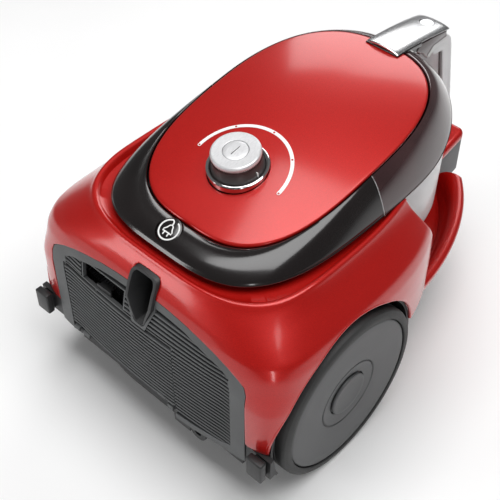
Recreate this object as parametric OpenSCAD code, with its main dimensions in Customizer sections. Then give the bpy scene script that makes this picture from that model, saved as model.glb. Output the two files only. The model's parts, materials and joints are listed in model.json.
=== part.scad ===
// Canister vacuum cleaner with a slide-out dust bin, two big side wheels and a front caster.
// Units are millimetres. +Z is up, -Y is the hose end, +Y is the exhaust end.
// The origin is on the floor, under the centre of the machine.

/* [Overall] */
// Distance over the outer faces of the two side wheels
body_w = 275; // [265:1:285]
// Distance from the hose port to the rear bumpers
body_l = 398; // [392:1:404]
// Wall thickness of the moulded shells
wall = 3; // [2.5:0.1:3.5]

/* [Side wheels] */
// Radius over the tyre
tyre_r = 78; // [74:1:80]
// Width of a side wheel
wheel_w = 30; // [26:1:32]
// Radius of the flat wheel disc inside the tyre
disc_r = 69.3; // [66:0.1:71]
// Distance of the wheel axle behind the origin
axle_y = 99; // [95:1:103]
// Radius of the steel stub axles
axle_r = 5; // [4:0.5:6]
// Radial running clearance of every shaft
fit_gap = 0.08; // [0.03:0.01:0.1]

/* [Front caster] */
// Radius of the caster wheel
caster_r = 16; // [14:0.5:17]
// Distance of the swivel post ahead of the origin
caster_y = -132; // [-136:1:-128]
// Distance that the caster wheel trails its post
caster_trail = 11; // [9:1:13]

/* [Top panel] */
// Half of the panel's length
panel_l2 = 121; // [118:1:122]
// Half of the panel's width
panel_w2 = 82; // [80:1:83]
// Rise of the panel's middle over its edge
panel_crown = 7; // [4:0.5:8]

/* [Controls] */
// Radius of the knob
knob_r = 19.6; // [18:0.1:21]
// Height of the knob over the panel
knob_h = 18; // [14:0.5:20]
// Angle that the knob turns from its lowest to its highest setting
knob_turn = 180; // [150:5:180]
// Travel of the push buttons
push = 2.5; // [1.5:0.5:3]

/* [Dust bin] */
// Half of the cup's width
cup_w2 = 84; // [80:1:85]
// Height of the cup's floor under the front wall
cup_floor = 110; // [108:1:114]
// Angle of the bin's slide above the horizontal
slide_tilt = 8; // [7:0.1:8]

/* [Hose port] */
// Radius of the bore that takes the hose connector
port_r = 16; // [15.5:0.1:16.2]
// Length of the bore
port_l = 34; // [28:1:38]
// Angle of the port above the horizontal
port_tilt = 13; // [8:1:16]

/* [Exhaust] */
// Number of louvres on the exhaust grille
louvres = 24; // [14:1:26]
// Radius of the grille's bend in plan
grille_bend = 760; // [700:10:900]

/* [Hidden] */

face_x = body_w / 2;
rear_y = body_l / 2;
axle_z = tyre_r;
well_r = tyre_r + 5;
well_x = face_x - wheel_w - 5;
clip_tall = 300;

// Colours
red = [0.72, 0.04, 0.03];
gloss_black = [0.05, 0.045, 0.05];
dark_grey = [0.17, 0.17, 0.18];
smoky = [0.25, 0.16, 0.16, 0.6];
frosted = [0.87, 0.86, 0.86, 0.75];
chrome = [0.75, 0.75, 0.76];
steel = [0.6, 0.6, 0.62];
copper = [0.75, 0.42, 0.2];
foam = [0.2, 0.22, 0.3];

// ---------- Shape helpers ----------

// Half-superellipse ring about (0, cy): a wide, br long to the rear and bf long to the front.
// nr and nf set how square the rear and the front halves are.
function ring(cy, a, br, bf, nr, nf, steps = 72) = [
    for (i = [0:steps - 1])
        let (t = 360 * (i + 0.5) / steps, c = cos(t), s = sin(t))
        let (n = s > 0 ? nr : nf, b = s > 0 ? br : bf)
        [a * sign(c) * pow(abs(c), 2 / n), cy + b * sign(s) * pow(abs(s), 2 / n)]
];

// Height of the top panel's edge at a distance y behind the origin
function panel_z(y) = 223 - 0.186 * (y - 60) - 0.00045 * pow(y - 60, 2);

// Mean of a ring's points
function middle(points) = [for (k = [0:2]) [for (p = points) p[k]] * [for (p = points) 1] / len(points)];

// Lofts closed rings of 3-D points that all have the same count. The two ends are closed by fans
// of triangles about their middles, or by strips across them where the section is a thin arch.
module loft(rings, arch = false) {
    n = len(rings[0]);
    m = len(rings);
    points = concat([for (r = rings) for (p = r) p], [middle(rings[0]), middle(rings[m - 1])]);
    sides = [
        for (j = [0:m - 2], i = [0:n - 1])
            let (a = j * n + i, b = j * n + (i + 1) % n, c = a + n, d = b + n)
            each [[a, c, b], [b, c, d]]
    ];
    last = (m - 1) * n;
    fans = [
        for (i = [0:n - 1])
            let (j = (i + 1) % n)
            each [[i, j, n * m], [last + j, last + i, n * m + 1]]
    ];
    strips = [
        for (i = [0:n / 2 - 2])
            let (j = n - 1 - i)
            each [
                [i, i + 1, j - 1], [i, j - 1, j],
                [last + i + 1, last + i, last + j - 1], [last + i, last + j, last + j - 1]
            ]
    ];
    polyhedron(points = points, faces = concat(sides, arch ? strips : fans), convexity = 8);
}

// Lofts rings round a closed section, the last ring back to the first, as a hoop
module hoop(rings) {
    n = len(rings[0]);
    m = len(rings);
    faces = [
        for (j = [0:m - 1], i = [0:n - 1])
            let (a = j * n + i, b = j * n + (i + 1) % n)
            let (c = (j + 1) % m * n + i, d = (j + 1) % m * n + (i + 1) % n)
            each [[a, c, b], [b, c, d]]
    ];
    polyhedron(points = [for (r = rings) for (p = r) p], faces = faces, convexity = 8);
}

function at_z(outline, z) = [for (p = outline) [p[0], p[1], z]];

// Cylinder along +X from x0 to x1, round the point (y, z)
module rod_x(r, x0, x1, y, z, fn = 64) {
    translate([x0, y, z]) rotate([0, 90, 0]) cylinder(r = r, h = x1 - x0, $fn = fn);
}

module box(low, high) {
    translate(low) cube(high - low);
}

// Places children at a point, with their +Z turned about X by the tilt towards +Y
module tilted(at, tilt) {
    translate(at) rotate([-tilt, 0, 0]) children();
}

// Both sides of the machine: children are drawn for +X and mirrored for -X
module on_side(side) {
    mirror([side < 0 ? 1 : 0, 0, 0]) children();
}

// ---------- Red shells and the black base ----------

// Levels of the rear shell: height, half width, rear reach, rear squareness
shell_levels = [
    [60, 134, 108, 12], [80, 136.5, 111, 12], [126, 137, 112, 10], [142, 136.5, 111.5, 7.5],
    [156, 135.5, 110, 6.8], [166, 133, 108, 6], [175, 123, 105, 5.5], [185, 114, 100, 4.5],
    [192, 109, 96, 3.6], [196, 107, 93, 3.2]
];
shell_cy = 80;
shell_front = 160;
shell_foot = 79;

function shell_ring(v, inset, lift) =
    at_z(ring(shell_cy, v[1] - inset, v[2] - inset, shell_front - inset, v[3], 2.6), v[0] + lift);

// The shell's outer form, or its hollow when inset by the wall
module shell_solid(inset) {
    last = len(shell_levels) - 1;
    loft([
        for (k = [0:last])
            shell_ring(shell_levels[k], inset, inset == 0 ? 0 : k == last ? 2 : k == 0 ? -2 : 0)
    ]);
}

// Everything ahead of the sloping front edges of the side ears
module ahead_of_ears() {
    rotate([90, 0, 90])
        linear_extrude(clip_tall, center = true)
            polygon([[0, 210], [-16, 170], [-38, 108], [-38, 94], [16, 94], [16, 0], [-300, 0], [-300, 210]]);
}

// Space that the side wheels and their wells take out of the shells
module wheel_bays() {
    for (side = [-1, 1])
        on_side(side)
            rod_x(well_r + 3, well_x - 3, clip_tall / 2, axle_y, axle_z, 96);
}

// Rounded arch outline of the exhaust opening, looking from behind
module grille_outline(grow = 0) {
    side = 108 + grow;
    polygon([
        [-side, 56 - grow], [-90, 51 - grow], [-50, 48 - grow], [0, 46 - grow], [50, 48 - grow],
        [90, 51 - grow], [side, 56 - grow], [side, 140 + grow], [side - 3, 147 + grow],
        [90, 156 + grow], [62, 164 + grow], [32, 168 + grow], [-32, 168 + grow],
        [-62, 164 + grow], [-90, 156 + grow], [3 - side, 147 + grow], [-side, 140 + grow]
    ]);
}

module rear_shell() {
    color(red)
        difference() {
            shell_solid(0);
            shell_solid(wall);
            ahead_of_ears();
            wheel_bays();
            translate([0, 205, 0]) rotate([90, 0, 0]) linear_extrude(30) grille_outline(0.6);
            box([-150, 120, 0], [150, 210, shell_foot]);
            box([-slot_w2 - 0.5, 160, 130], [slot_w2 + 0.5, 200, slot_top + 0.5]);
        }
}

// Levels of the front tray: height, half width, front reach
tray_levels = [[39, 99, 163], [60, 108, 172], [84, 117, 181], [90, 117.5, 182.5], [93, 116, 181]];
tray_cy = -10;
tray_lip = 14;

function tray_ring(v, inset, lift) =
    at_z(ring(tray_cy, v[1] - inset, 32, v[2] - inset, 8, 1.85), v[0] + lift);

module tray_solid(inset) {
    last = len(tray_levels) - 1;
    loft([
        for (k = [0:last])
            tray_ring(tray_levels[k], inset, inset == 0 ? 0 : k == last ? 2 : k == 0 ? -2 : 0)
    ]);
}

// Half width and half height of the rounded nose round the hose port
nose_w2 = 35;
nose_h2 = 22;
nose_l = 54;
port_at = [0, 3 - rear_y, 90];

// Rounded bar along +Y, in the port's own tilted frame
module nose_bar(grow, y0, y1) {
    r = 12;
    for (x = [-1, 1], z = [-1, 1])
        translate([x * (nose_w2 + grow - r), y0, z * (nose_h2 + grow - r)])
            rotate([-90, 0, 0]) cylinder(r = r, h = y1 - y0, $fn = 32);
    box([r - nose_w2 - grow, y0, -nose_h2 - grow], [nose_w2 + grow - r, y1, nose_h2 + grow]);
    box([-nose_w2 - grow, y0, r - nose_h2 - grow], [nose_w2 + grow, y1, nose_h2 + grow - r]);
}

module front_tray() {
    color(red)
        difference() {
            union() {
                tray_solid(0);
                tilted(port_at, port_tilt) nose_bar(0, -3, nose_l);
            }
            difference() {
                tray_solid(tray_lip);
                tilted(port_at, port_tilt) nose_bar(0.5, -3, nose_l);
            }
            tilted(port_at, port_tilt) {
                box([-nose_w2 - 0.3, -20, -40], [nose_w2 + 0.3, port_l + 1, 15.6]);
                box([-30, port_l - 1, -40], [30, 80, 18]);
            }
            box([-150, 13.2, 0], [150, 60, 120]);
            box([-60, -rear_y - 20, 40], [60, -rear_y, 140]);
            wheel_bays();
        }
}

// Base pan under both shells
module base_pan(inset, z0, z1) {
    loft([
        at_z(ring(-10, 86 - inset, 190 - inset, 146 - inset, 6, 2), z0),
        at_z(ring(-10, 94 - inset, 192 - inset, 156 - inset, 6, 1.9), (z0 + z1) / 2),
        at_z(ring(-10, 99 - inset, 192 - inset, 163 - inset, 6, 1.85), z1)
    ]);
}

module base_tray() {
    color(gloss_black)
        difference() {
            union() {
                difference() {
                    base_pan(0, 22, 38.7);
                    base_pan(wall, 25, 40);
                }
                difference() {
                    box([-97, 14, 30], [97, 181, 59.5]);
                    box([-94, 17, 20], [94, 178, 70]);
                }
                translate([0, caster_y, 24]) cylinder(r = 34, h = 12, $fn = 64);
                translate([0, caster_y, 24]) cylinder(r = 11, h = 27, $fn = 48);
            }
            wheel_bays();
            translate([0, caster_y, 10]) cylinder(r = 31, h = 23, $fn = 64);
            translate([0, caster_y, 10]) cylinder(r = 6 + fit_gap, h = 60, $fn = 48);
        }
    for (side = [-1, 1])
        color(gloss_black)
            on_side(side)
                difference() {
                    box([96, 150, 57], [134, 189.6, shell_foot - 0.4]);
                    box([90, 183.6, 46], [109, 196, 90]);
                    wheel_bays();
                }
}

// Inner wall behind the bin, with the shelf that the bin slides on
module bin_cradle() {
    color(dark_grey)
        difference() {
            union() {
                box([-96, 14.5, 60], [96, 17.5, 194]);
                tilted([0, 14.5, cup_floor - 20.4], slide_tilt) box([-62, -112, -3], [62, 1.5, 0]);
                box([-58, -60, 62], [-55, 16, 88]);
                box([55, -60, 62], [58, 16, 88]);
            }
            translate([motor_x, 10, motor_z]) rotate([-90, 0, 0]) cylinder(r = 30, h = 20, $fn = 64);
            translate([0, -90, 60]) cylinder(r = 19.5, h = 80, $fn = 64);
            box([-75, 10, 160], [75, 20, 190]);
            wheel_bays();
        }
}

// Deck that closes the motor room under the rims
module motor_deck() {
    color(gloss_black)
        difference() {
            translate([0, 0, 187.5])
                linear_extrude(2.5)
                    polygon(ring(shell_cy, 105, 90.5, 62, 4.2, 20));
            box([-slot_w2 - 1, 165, 180], [slot_w2 + 1, 200, 200]);
            translate([rewind_at[0], rewind_at[1] - 4, 180]) cylinder(r = 7, h = 20, $fn = 48);
        }
}

// ---------- Top panel, rims and controls ----------

panel_cy = 17;
rim_cy = 19;
rim_gap = 0.6;
split_y = 24;

function panel_ring(grow, scale_by) =
    ring(panel_cy, (panel_w2 + grow) * scale_by, (panel_l2 + grow) * scale_by,
        (panel_l2 + grow) * scale_by, 3, 2.5);

// The panel's domed surface: scaled outlines that rise to the middle, less a drop
function dome(scale_by, drop) = [
    for (p = panel_ring(0, scale_by))
        [p[0], p[1], panel_z(p[1]) + panel_crown * (1 - scale_by * scale_by) - drop]
];

module top_panel() {
    color(red)
        difference() {
            loft([
                dome(0.04, 2.8), dome(0.5, 2.8), dome(0.985, 2.8), dome(1, 2), dome(1, 0.6),
                dome(0.99, 0), dome(0.85, 0), dome(0.66, 0), dome(0.45, 0), dome(0.2, 0), dome(0.04, 0)
            ]);
            tilted(knob_at, knob_tilt) translate([0, 0, -20]) cylinder(r = bezel_r + 0.3, h = 40, $fn = 96);
        }
}

hood_tilt = 8.4;
hood_at = [0, panel_cy, 215];

// Flat carrier under the panel, in its own tilted frame
module hood_plate(shrink, z0, z1) {
    translate([0, 0, z0])
        linear_extrude(z1 - z0)
            polygon([for (p = panel_ring(-shrink, 1)) [p[0], p[1] - panel_cy]]);
}

module hood_frame() {
    color(gloss_black)
        difference() {
            union() {
                tilted(hood_at, hood_tilt) {
                    hood_plate(3, -2.4, 0);
                    difference() {
                        hood_plate(4, -1, 4.6);
                        hood_plate(7, -2, 6);
                    }
                }
                for (side = [-1, 1])
                    on_side(side) box([40, 60, 190.1], [46, 110, 206]);
                box([-60, 120, 190.1], [60, 124, 198]);
            }
            tilted(knob_at, knob_tilt) translate([0, 0, -30]) cylinder(r = 5, h = 60, $fn = 48);
        }
}

// Lower edge of the rims: level at the rear and rising over the bin's front
function rim_low(y) = 199 + (y < -40 ? 0.0032 * pow(-40 - y, 2) : 0);

function rim_outline(inset) = ring(rim_cy, 99 - inset, 147 - inset, 147 - inset, 3.4, 2.65);

// A ring of the rim between the panel's edge (0) and the low outer edge (1)
function rim_ring(along, inset, drop) =
    let (inner = panel_ring(rim_gap, 1), outer = rim_outline(inset))
    [
        for (i = [0:len(inner) - 1])
            let (p = inner[i] * (1 - along) + outer[i] * along)
            let (top = panel_z(inner[i][1]) - 0.6, low = rim_low(outer[i][1]))
            [p[0], p[1], top * (1 - along) + low * along + 16 * along * (1 - along) - drop]
    ];

module rim_band() {
    hoop([
        rim_ring(0, 0, 3), rim_ring(0, 0, 0.3), rim_ring(0.35, 0, 0), rim_ring(0.7, 0, 0),
        rim_ring(1, 0, -0.5), rim_ring(1, 0, 1), rim_ring(1, 2.6, 1), rim_ring(0.7, 1.5, 3),
        rim_ring(0.35, 0.5, 3)
    ]);
}

rewind_at = [4, 152, 205];
rewind_tilt = 24;
rewind_r = 10.4;

module rear_rim() {
    color(gloss_black)
        difference() {
            intersection() {
                rim_band();
                box([-120, split_y + 0.3, 150], [120, 200, 260]);
            }
            tilted(rewind_at, rewind_tilt)
                translate([0, 0, -20]) cylinder(r = rewind_r + 0.35, h = 40, $fn = 64);
        }
}

module rewind_button() {
    color(gloss_black)
        tilted(rewind_at, rewind_tilt) {
            translate([0, 0, -2.6]) cylinder(r = rewind_r, h = 3.2, $fn = 64);
            translate([0, 0, -9]) cylinder(r = 3, h = 6.8, $fn = 32);
        }
}

// Coil spring drawn as a sleeve, its turns closed up
module spring_sleeve(r_out, r_in, z0, z1) {
    color(steel)
        difference() {
            translate([0, 0, z0]) cylinder(r = r_out, h = z1 - z0, $fn = 48);
            translate([0, 0, z0 - 1]) cylinder(r = r_in, h = z1 - z0 + 2, $fn = 48);
        }
}

module rewind_spring() {
    tilted(rewind_at, rewind_tilt) spring_sleeve(5, 4.2, -8.9, -2.8);
}

knob_at = [0, 81.5, 225.2];
knob_tilt = 8;
bezel_r = 25;

// Height of the panel's dome over a point of the plan
function panel_top(x, y) =
    let (n = y > panel_cy ? 3 : 2.5)
    let (s = pow(pow(abs(x) / panel_w2, n) + pow(abs(y - panel_cy) / panel_l2, n), 1 / n))
    panel_z(y) + panel_crown * (1 - s * s);

scale_r = 41.5;
scale_w2 = 1.4;
scale_dots = 5;

// Point of the power scale at an angle round the knob, lifted off the panel
function scale_point(r, a, lift) =
    let (x = r * cos(a), y = knob_at[1] + r * sin(a) * cos(knob_tilt))
    [x, y, panel_top(x, y) + lift];

// Raised arc with five dots, on the panel ahead of the knob
module power_scale() {
    low = 0.3;
    high = 0.9;
    color("white") {
        loft([
            for (a = [0:-4:-knob_turn])
                [
                    scale_point(scale_r - scale_w2, a, low), scale_point(scale_r + scale_w2, a, low),
                    scale_point(scale_r + scale_w2, a, high), scale_point(scale_r - scale_w2, a, high)
                ]
        ]);
        for (i = [0:scale_dots - 1])
            translate(scale_point(scale_r, -knob_turn * i / (scale_dots - 1), low))
                rotate([-knob_tilt, 0, 0]) cylinder(r = 0.8, h = high - low + 0.4, $fn = 24);
    }
}

module knob_bezel() {
    color(chrome)
        tilted(knob_at, knob_tilt)
            difference() {
                union() {
                    translate([0, 0, -5]) cylinder(r = bezel_r, h = 6.75, $fn = 96);
                    translate([0, 0, 1.75]) cylinder(r1 = bezel_r - 0.8, r2 = bezel_r - 2.6, h = 1.2, $fn = 96);
                }
                translate([0, 0, -6]) cylinder(r = 21.6, h = 12, $fn = 96);
            }
}

module power_knob() {
    color(chrome)
        tilted(knob_at, knob_tilt)
            difference() {
                union() {
                    translate([0, 0, 1.4]) cylinder(r1 = 21.2, r2 = knob_r + 0.4, h = knob_h - 4.4, $fn = 96);
                    translate([0, 0, knob_h - 3]) cylinder(r = knob_r, h = 2.4, $fn = 96);
                    translate([0, 0, knob_h - 0.6]) cylinder(r1 = knob_r, r2 = knob_r - 0.8, h = 0.6, $fn = 96);
                    translate([0, 0, -12.5]) cylinder(r = 4.9, h = 14, $fn = 48);
                    for (i = [0:59])
                        rotate([0, 0, i * 6])
                            translate([knob_r - 0.3, -0.45, 4]) cube([0.8, 0.9, knob_h - 5.5]);
                    translate([-knob_r - 1.4, -0.8, 3]) cube([2, 1.6, knob_h - 5]);
                }
                translate([0, 0, 3]) cylinder(r = button_r + 0.2, h = 20, $fn = 64);
                translate([0, 0, -30]) cylinder(r = 2.1, h = 60, $fn = 32);
            }
}

button_r = 10;

module power_button() {
    color(chrome)
        tilted(knob_at, knob_tilt) {
            difference() {
                translate([0, 0, knob_h - 4.6]) cylinder(r = button_r, h = 4.4, $fn = 64);
                translate([-0.8, -6, knob_h - 0.7]) cube([1.6, 12, 2]);
            }
            translate([0, 0, -11]) cylinder(r = 2, h = knob_h + 7, $fn = 32);
        }
}

module power_spring() {
    tilted(knob_at, knob_tilt) spring_sleeve(5, 4.2, 3.1, knob_h - 4.8);
}

module control_board() {
    color("green")
        tilted(hood_at, hood_tilt) translate([-34, 40, -6.4]) cube([68, 42, 1.6]);
    color("ivory")
        tilted(hood_at, hood_tilt) {
            translate([-30, 74, -12]) cube([16, 6, 5.6]);
            translate([14, 70, -12]) cube([14, 10, 5.6]);
        }
}

// ---------- Dust bin and its handle ----------

cup_cy = -45;
cup_slope = tan(slide_tilt);

function cup_outline(inset) = ring(cup_cy, cup_w2 - inset, 52 - inset, 79 - inset, 6, 2.7);

// Cup ring at a height over the sloping floor
function cup_ring(inset, lift) = [
    for (p = cup_outline(inset))
        [p[0], p[1], cup_floor - (p[1] + 124) * cup_slope + lift]
];

// Cup ring at a height over the cup's mouth, which follows the lid's lower edge
function mouth_ring(inset, lift) = [for (p = cup_outline(inset)) [p[0], p[1], rim_low(p[1]) - 2 + lift]];

module bin_cup() {
    color(frosted)
        difference() {
            loft([cup_ring(13, 0), cup_ring(6, 2), cup_ring(2.6, 7), cup_ring(1.4, 16), mouth_ring(0, 0)]);
            loft([cup_ring(15, 2.4), cup_ring(8.5, 4.4), cup_ring(5, 9), cup_ring(3.8, 17), mouth_ring(2.4, 4)]);
            translate([0, -90, 60]) cylinder(r = 15, h = 80, $fn = 64);
            translate([motor_x, -20, 165]) rotate([-90, 0, 0]) cylinder(r = 16, h = 40, $fn = 64);
        }
}

// A flat hoop on the cup's edge
module bin_seal() {
    color("dimgray")
        hoop([mouth_ring(0.4, 0.8), mouth_ring(2.2, 0.8), mouth_ring(2.2, 1.5), mouth_ring(0.4, 1.5)]);
}

// Ring on the lid's floor, inside the rim's lower edge
function lid_ring(scale_by, lift) = [
    for (p = rim_outline(2.6)) [p[0] * scale_by, p[1] * scale_by, rim_low(p[1] * scale_by) + lift]
];

module bin_lid() {
    color(smoky)
        intersection() {
            loft([
                lid_ring(0.05, 1.4), lid_ring(0.6, 1.4), lid_ring(0.97, 1.4), rim_ring(1, 0, 0.8),
                rim_ring(1, 0, -0.5), rim_ring(0.7, 0, 0), rim_ring(0.35, 0, 0), rim_ring(0, 0, 0.3),
                rim_ring(0, 0, 3), rim_ring(0.35, 0.5, 3), rim_ring(0.7, 1.5, 3), lid_ring(0.99, 3.6),
                lid_ring(0.6, 3.6), lid_ring(0.05, 3.6)
            ]);
            box([-120, -200, 150], [120, split_y - 0.3, 260]);
        }
}

// Cyclone hung under the lid
module cyclone_cone() {
    color("gainsboro")
        translate([0, -55, 0])
            difference() {
                translate([0, 0, 128]) cylinder(r1 = 15, r2 = 30, h = 70, $fn = 64);
                translate([0, 0, 127.9]) cylinder(r1 = 13, r2 = 28, h = 70.2, $fn = 64);
            }
}

module mesh_filter() {
    color("silver")
        translate([0, -55, 0])
            difference() {
                translate([0, 0, 150]) cylinder(r = 13, h = 52, $fn = 48);
                translate([0, 0, 151.5]) cylinder(r = 11.5, h = 60, $fn = 48);
            }
}

handle_w2 = 16.5;
handle_rear = -94;
handle_front = -172;

// Height of the chrome cover's side edges along the handle
function handle_edge(y) = y > -130 ? 243.9 - 0.0053 * pow(y + 94, 2) : 237 + (y + 130) * 0.1;

// Section of the handle cover at y: an arched strip, narrowed by trim
function handle_ring(y, trim, thick) =
    let (w = handle_w2 - trim, z = handle_edge(y))
    concat(
        [for (k = [0:12]) let (u = k / 6 - 1) [w * u, y, z + 2.5 * (1 - u * u)]],
        [for (k = [12:-1:0]) let (u = k / 6 - 1) [(w - 0.6) * u, y, z - thick + 2 * (1 - u * u)]]
    );

release_at = [0, -158, 236.7];
release_r = 6.5;

module handle_cover() {
    color(chrome)
        difference() {
            loft([
                handle_ring(handle_rear, 1, 1.4), handle_ring(-100, 0.6, 1.6), handle_ring(-112, 0, 1.8),
                handle_ring(-122, 0, 2), handle_ring(-130, 0, 2), handle_ring(-150, 0, 2), handle_ring(-166, 0.2, 2),
                handle_ring(handle_front + 1, 1.5, 1.8), handle_ring(handle_front - 2, 5, 1.2)
            ], arch = true);
            translate([release_at[0], release_at[1], 200]) cylinder(r = release_r + 0.35, h = 60, $fn = 48);
        }
}

module release_button() {
    color(chrome)
        difference() {
            translate([release_at[0], release_at[1], release_at[2] - 7.6]) cylinder(r = release_r, h = 8.2, $fn = 48);
            translate([release_at[0], release_at[1], release_at[2] - 9]) cylinder(r = 4.4, h = 6.6, $fn = 48);
        }
}

module release_spring() {
    translate([release_at[0], release_at[1], 0]) spring_sleeve(3, 2.4, 226.1, release_at[2] - 2.5);
}

module handle_beam() {
    color(gloss_black)
        difference() {
            rotate([90, 0, 90])
                linear_extrude(24, center = true)
                    polygon([
                        [-96, 242.4], [-104, 241.8], [-112, 239], [-117, 236.2], [-122, 231.8],
                        [-130, 224.5], [-170, 224.5], [-170, 231.8], [-150, 233.8], [-130, 235.8],
                        [-120, 239.1], [-110, 241.5], [-96, 243.2]
                    ]);
            translate([release_at[0], release_at[1], 226]) cylinder(r = release_r + 0.6, h = 40, $fn = 48);
        }
}

module handle_leg() {
    color(frosted)
        union() {
            rotate([90, 0, 90])
                linear_extrude(2 * handle_w2, center = true)
                    polygon([[-172, 224.3], [-176, 221], [-196.5, 122], [-197, 116.4], [-124.9, 116.4],
                        [-124.9, 119.8], [-191, 119.8], [-170, 219], [-136, 219], [-134, 224.3]]);
            for (side = [-1, 1])
                on_side(side)
                    rotate([90, 0, 90])
                        translate([0, 0, handle_w2 - 2.4])
                            linear_extrude(2.4)
                                polygon([[-174, 220], [-195, 120], [-184, 120], [-165.5, 214], [-150, 214], [-150, 220]]);
        }
}

// ---------- Hose port ----------

module hose_port() {
    color(dark_grey)
        tilted(port_at, port_tilt)
            difference() {
                intersection() {
                    nose_bar(-0.4, -2, port_l - 2);
                    box([-50, -10, -30], [50, 80, 15.3]);
                }
                translate([0, -9, -2.6]) rotate([-90, 0, 0]) cylinder(r = port_r, h = port_l + 12, $fn = 96);
                rotate([port_tilt, 0, 0]) box([-60, -40, -60], [60, -3, 60]);
            }
}

module port_seal() {
    color("dimgray")
        tilted(port_at, port_tilt)
            translate([0, port_l - 1.9, -2.6]) rotate([-90, 0, 0])
                difference() {
                    cylinder(r = 17.8, h = 2.5, $fn = 64);
                    translate([0, 0, -1]) cylinder(r = 14.5, h = 6, $fn = 64);
                }
}

// Elbow from the hose port up to the bin's inlet
module inlet_duct() {
    color(dark_grey)
        difference() {
            union() {
                tilted(port_at, port_tilt)
                    translate([0, port_l + 0.7, -2.6]) rotate([-90, 0, 0]) cylinder(r = 18.5, h = 68, $fn = 64);
                translate([0, -90, 67]) cylinder(r = 18.5, h = 34, $fn = 64);
            }
            tilted(port_at, port_tilt)
                translate([0, port_l - 2, -2.6]) rotate([-90, 0, 0]) cylinder(r = 16, h = 70, $fn = 64);
            translate([0, -90, 69]) cylinder(r = 16, h = 50, $fn = 64);
        }
}

// ---------- Exhaust side ----------

door_x0 = -35;
door_x1 = 94;
door_z0 = 61.5;
door_z1 = 136;
hinge_y = 190;
hinge_z = 58.6;
pin_r = 1.5;

// Outer face of the grille's slab at a distance x from the middle
function slab_y(x) = 195 - grille_bend + sqrt(grille_bend * grille_bend - x * x);

// Curved slab that the grille and its door are cut from
module grille_slab(r0, r1) {
    translate([0, 195 - grille_bend, 0])
        difference() {
            cylinder(r = grille_bend + r1, h = 200, $fn = 360);
            translate([0, 0, -1]) cylinder(r = grille_bend + r0, h = 202, $fn = 360);
        }
}

// Louvre bars across the whole opening, as a flat pattern
module louvre_bars() {
    pitch = (160 - 58) / louvres;
    for (i = [0:louvres - 1])
        translate([-105, 58 + i * pitch]) square([210, pitch * 0.55]);
    for (x = [-75, -35, 30, 65])
        translate([x, 52]) square([1.6, 112]);
}

module upright(y0, y1) {
    translate([0, y1, 0]) rotate([90, 0, 0]) linear_extrude(y1 - y0) children();
}

module exhaust_grille() {
    color(dark_grey)
        intersection() {
            grille_slab(-3, 0);
            upright(170, 200)
                difference() {
                    union() {
                        difference() {
                            grille_outline(0);
                            grille_outline(-5);
                        }
                        intersection() {
                            grille_outline(-1);
                            union() {
                                louvre_bars();
                                translate([-19, 134]) square([90, 30]);
                            }
                        }
                    }
                    translate([door_x0 - 0.5, 55.4]) square([door_x1 - door_x0 + 1, door_z1 + 0.5 - 55.4]);
                    translate([21, 136]) square([46, 19]);
                    translate([-slot_w2 - 0.4, 130]) square([2 * slot_w2 + 0.8, 50]);
                }
        }
    color(dark_grey)
        for (x = [-31, 85])
            difference() {
                union() {
                    rod_x(2.6, x, x + 6, hinge_y, hinge_z, 48);
                    box([x, hinge_y - 2.5, 52], [x + 6, max(hinge_y, slab_y(x + 6)) - 1, hinge_z - 1]);
                }
                rod_x(pin_r, x - 1, x + 7, hinge_y, hinge_z, 48);
            }
}

module filter_door() {
    color(dark_grey)
        intersection() {
            grille_slab(-3, 0);
            upright(170, 200)
                union() {
                    difference() {
                        translate([door_x0, door_z0]) square([door_x1 - door_x0, door_z1 - door_z0]);
                        translate([door_x0 + 4, door_z0 + 4])
                            square([door_x1 - door_x0 - 8, door_z1 - door_z0 - 8]);
                    }
                    intersection() {
                        translate([door_x0, door_z0]) square([door_x1 - door_x0, door_z1 - door_z0]);
                        louvre_bars();
                    }
                }
        }
    color(dark_grey)
        for (x = [-22, 72])
            difference() {
                union() {
                    rod_x(2.6, x, x + 8, hinge_y, hinge_z, 48);
                    box([x, hinge_y - 2.2, hinge_z], [x + 8, slab_y(x < 0 ? x : x + 8) - 0.6, door_z0 + 3]);
                }
                rod_x(pin_r + fit_gap, x - 1, x + 9, hinge_y, hinge_z, 48);
            }
}

module door_pin() {
    color(steel) rod_x(pin_r, door_x0 + 5, door_x1 - 4, hinge_y, hinge_z, 48);
}

// Finger latch on the door's top edge, reached through the slot over it
module door_latch() {
    color(gloss_black)
        union() {
            box([36, 188.4, door_z1 - 9], [52, 190, door_z1 + 5]);
            box([38, 184.6, door_z1 + 3], [50, 188.4, door_z1 + 5]);
        }
}

module exhaust_filter() {
    color("white") box([-30, 170.5, 62], [94, 181, 132]);
}

slot_w2 = 14;
slot_top = 185;

// Pocket that parks the floor head's hook: open to the rear, with a lip across its lower end
module parking_slot() {
    color(gloss_black)
        difference() {
            box([-slot_w2, 166, 142], [slot_w2, 193.5, slot_top]);
            box([2.5 - slot_w2, 168.5, 145], [slot_w2 - 2.5, 190.5, slot_top - 2.5]);
            box([2.5 - slot_w2, 168.5, 156], [slot_w2 - 2.5, 200, slot_top - 2.5]);
            rear_trim();
        }
}

// Slopes the slot's top to the shell's shoulder
module rear_trim() {
    rotate([90, 0, 90])
        linear_extrude(clip_tall, center = true)
            polygon([[181, 200], [184, 180], [189.5, 172], [194, 160], [205, 160], [205, 200]]);
}

module bumper(side) {
    color(gloss_black)
        on_side(side)
            union() {
                box([117, 192.4, 59], [132.4, rear_y, 81]);
                box([119, 189.7, 60], [130, 193, 77]);
            }
}

module left_bumper() bumper(-1);
module right_bumper() bumper(1);

gland_y = 182.5;
gland_l = 7;

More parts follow.
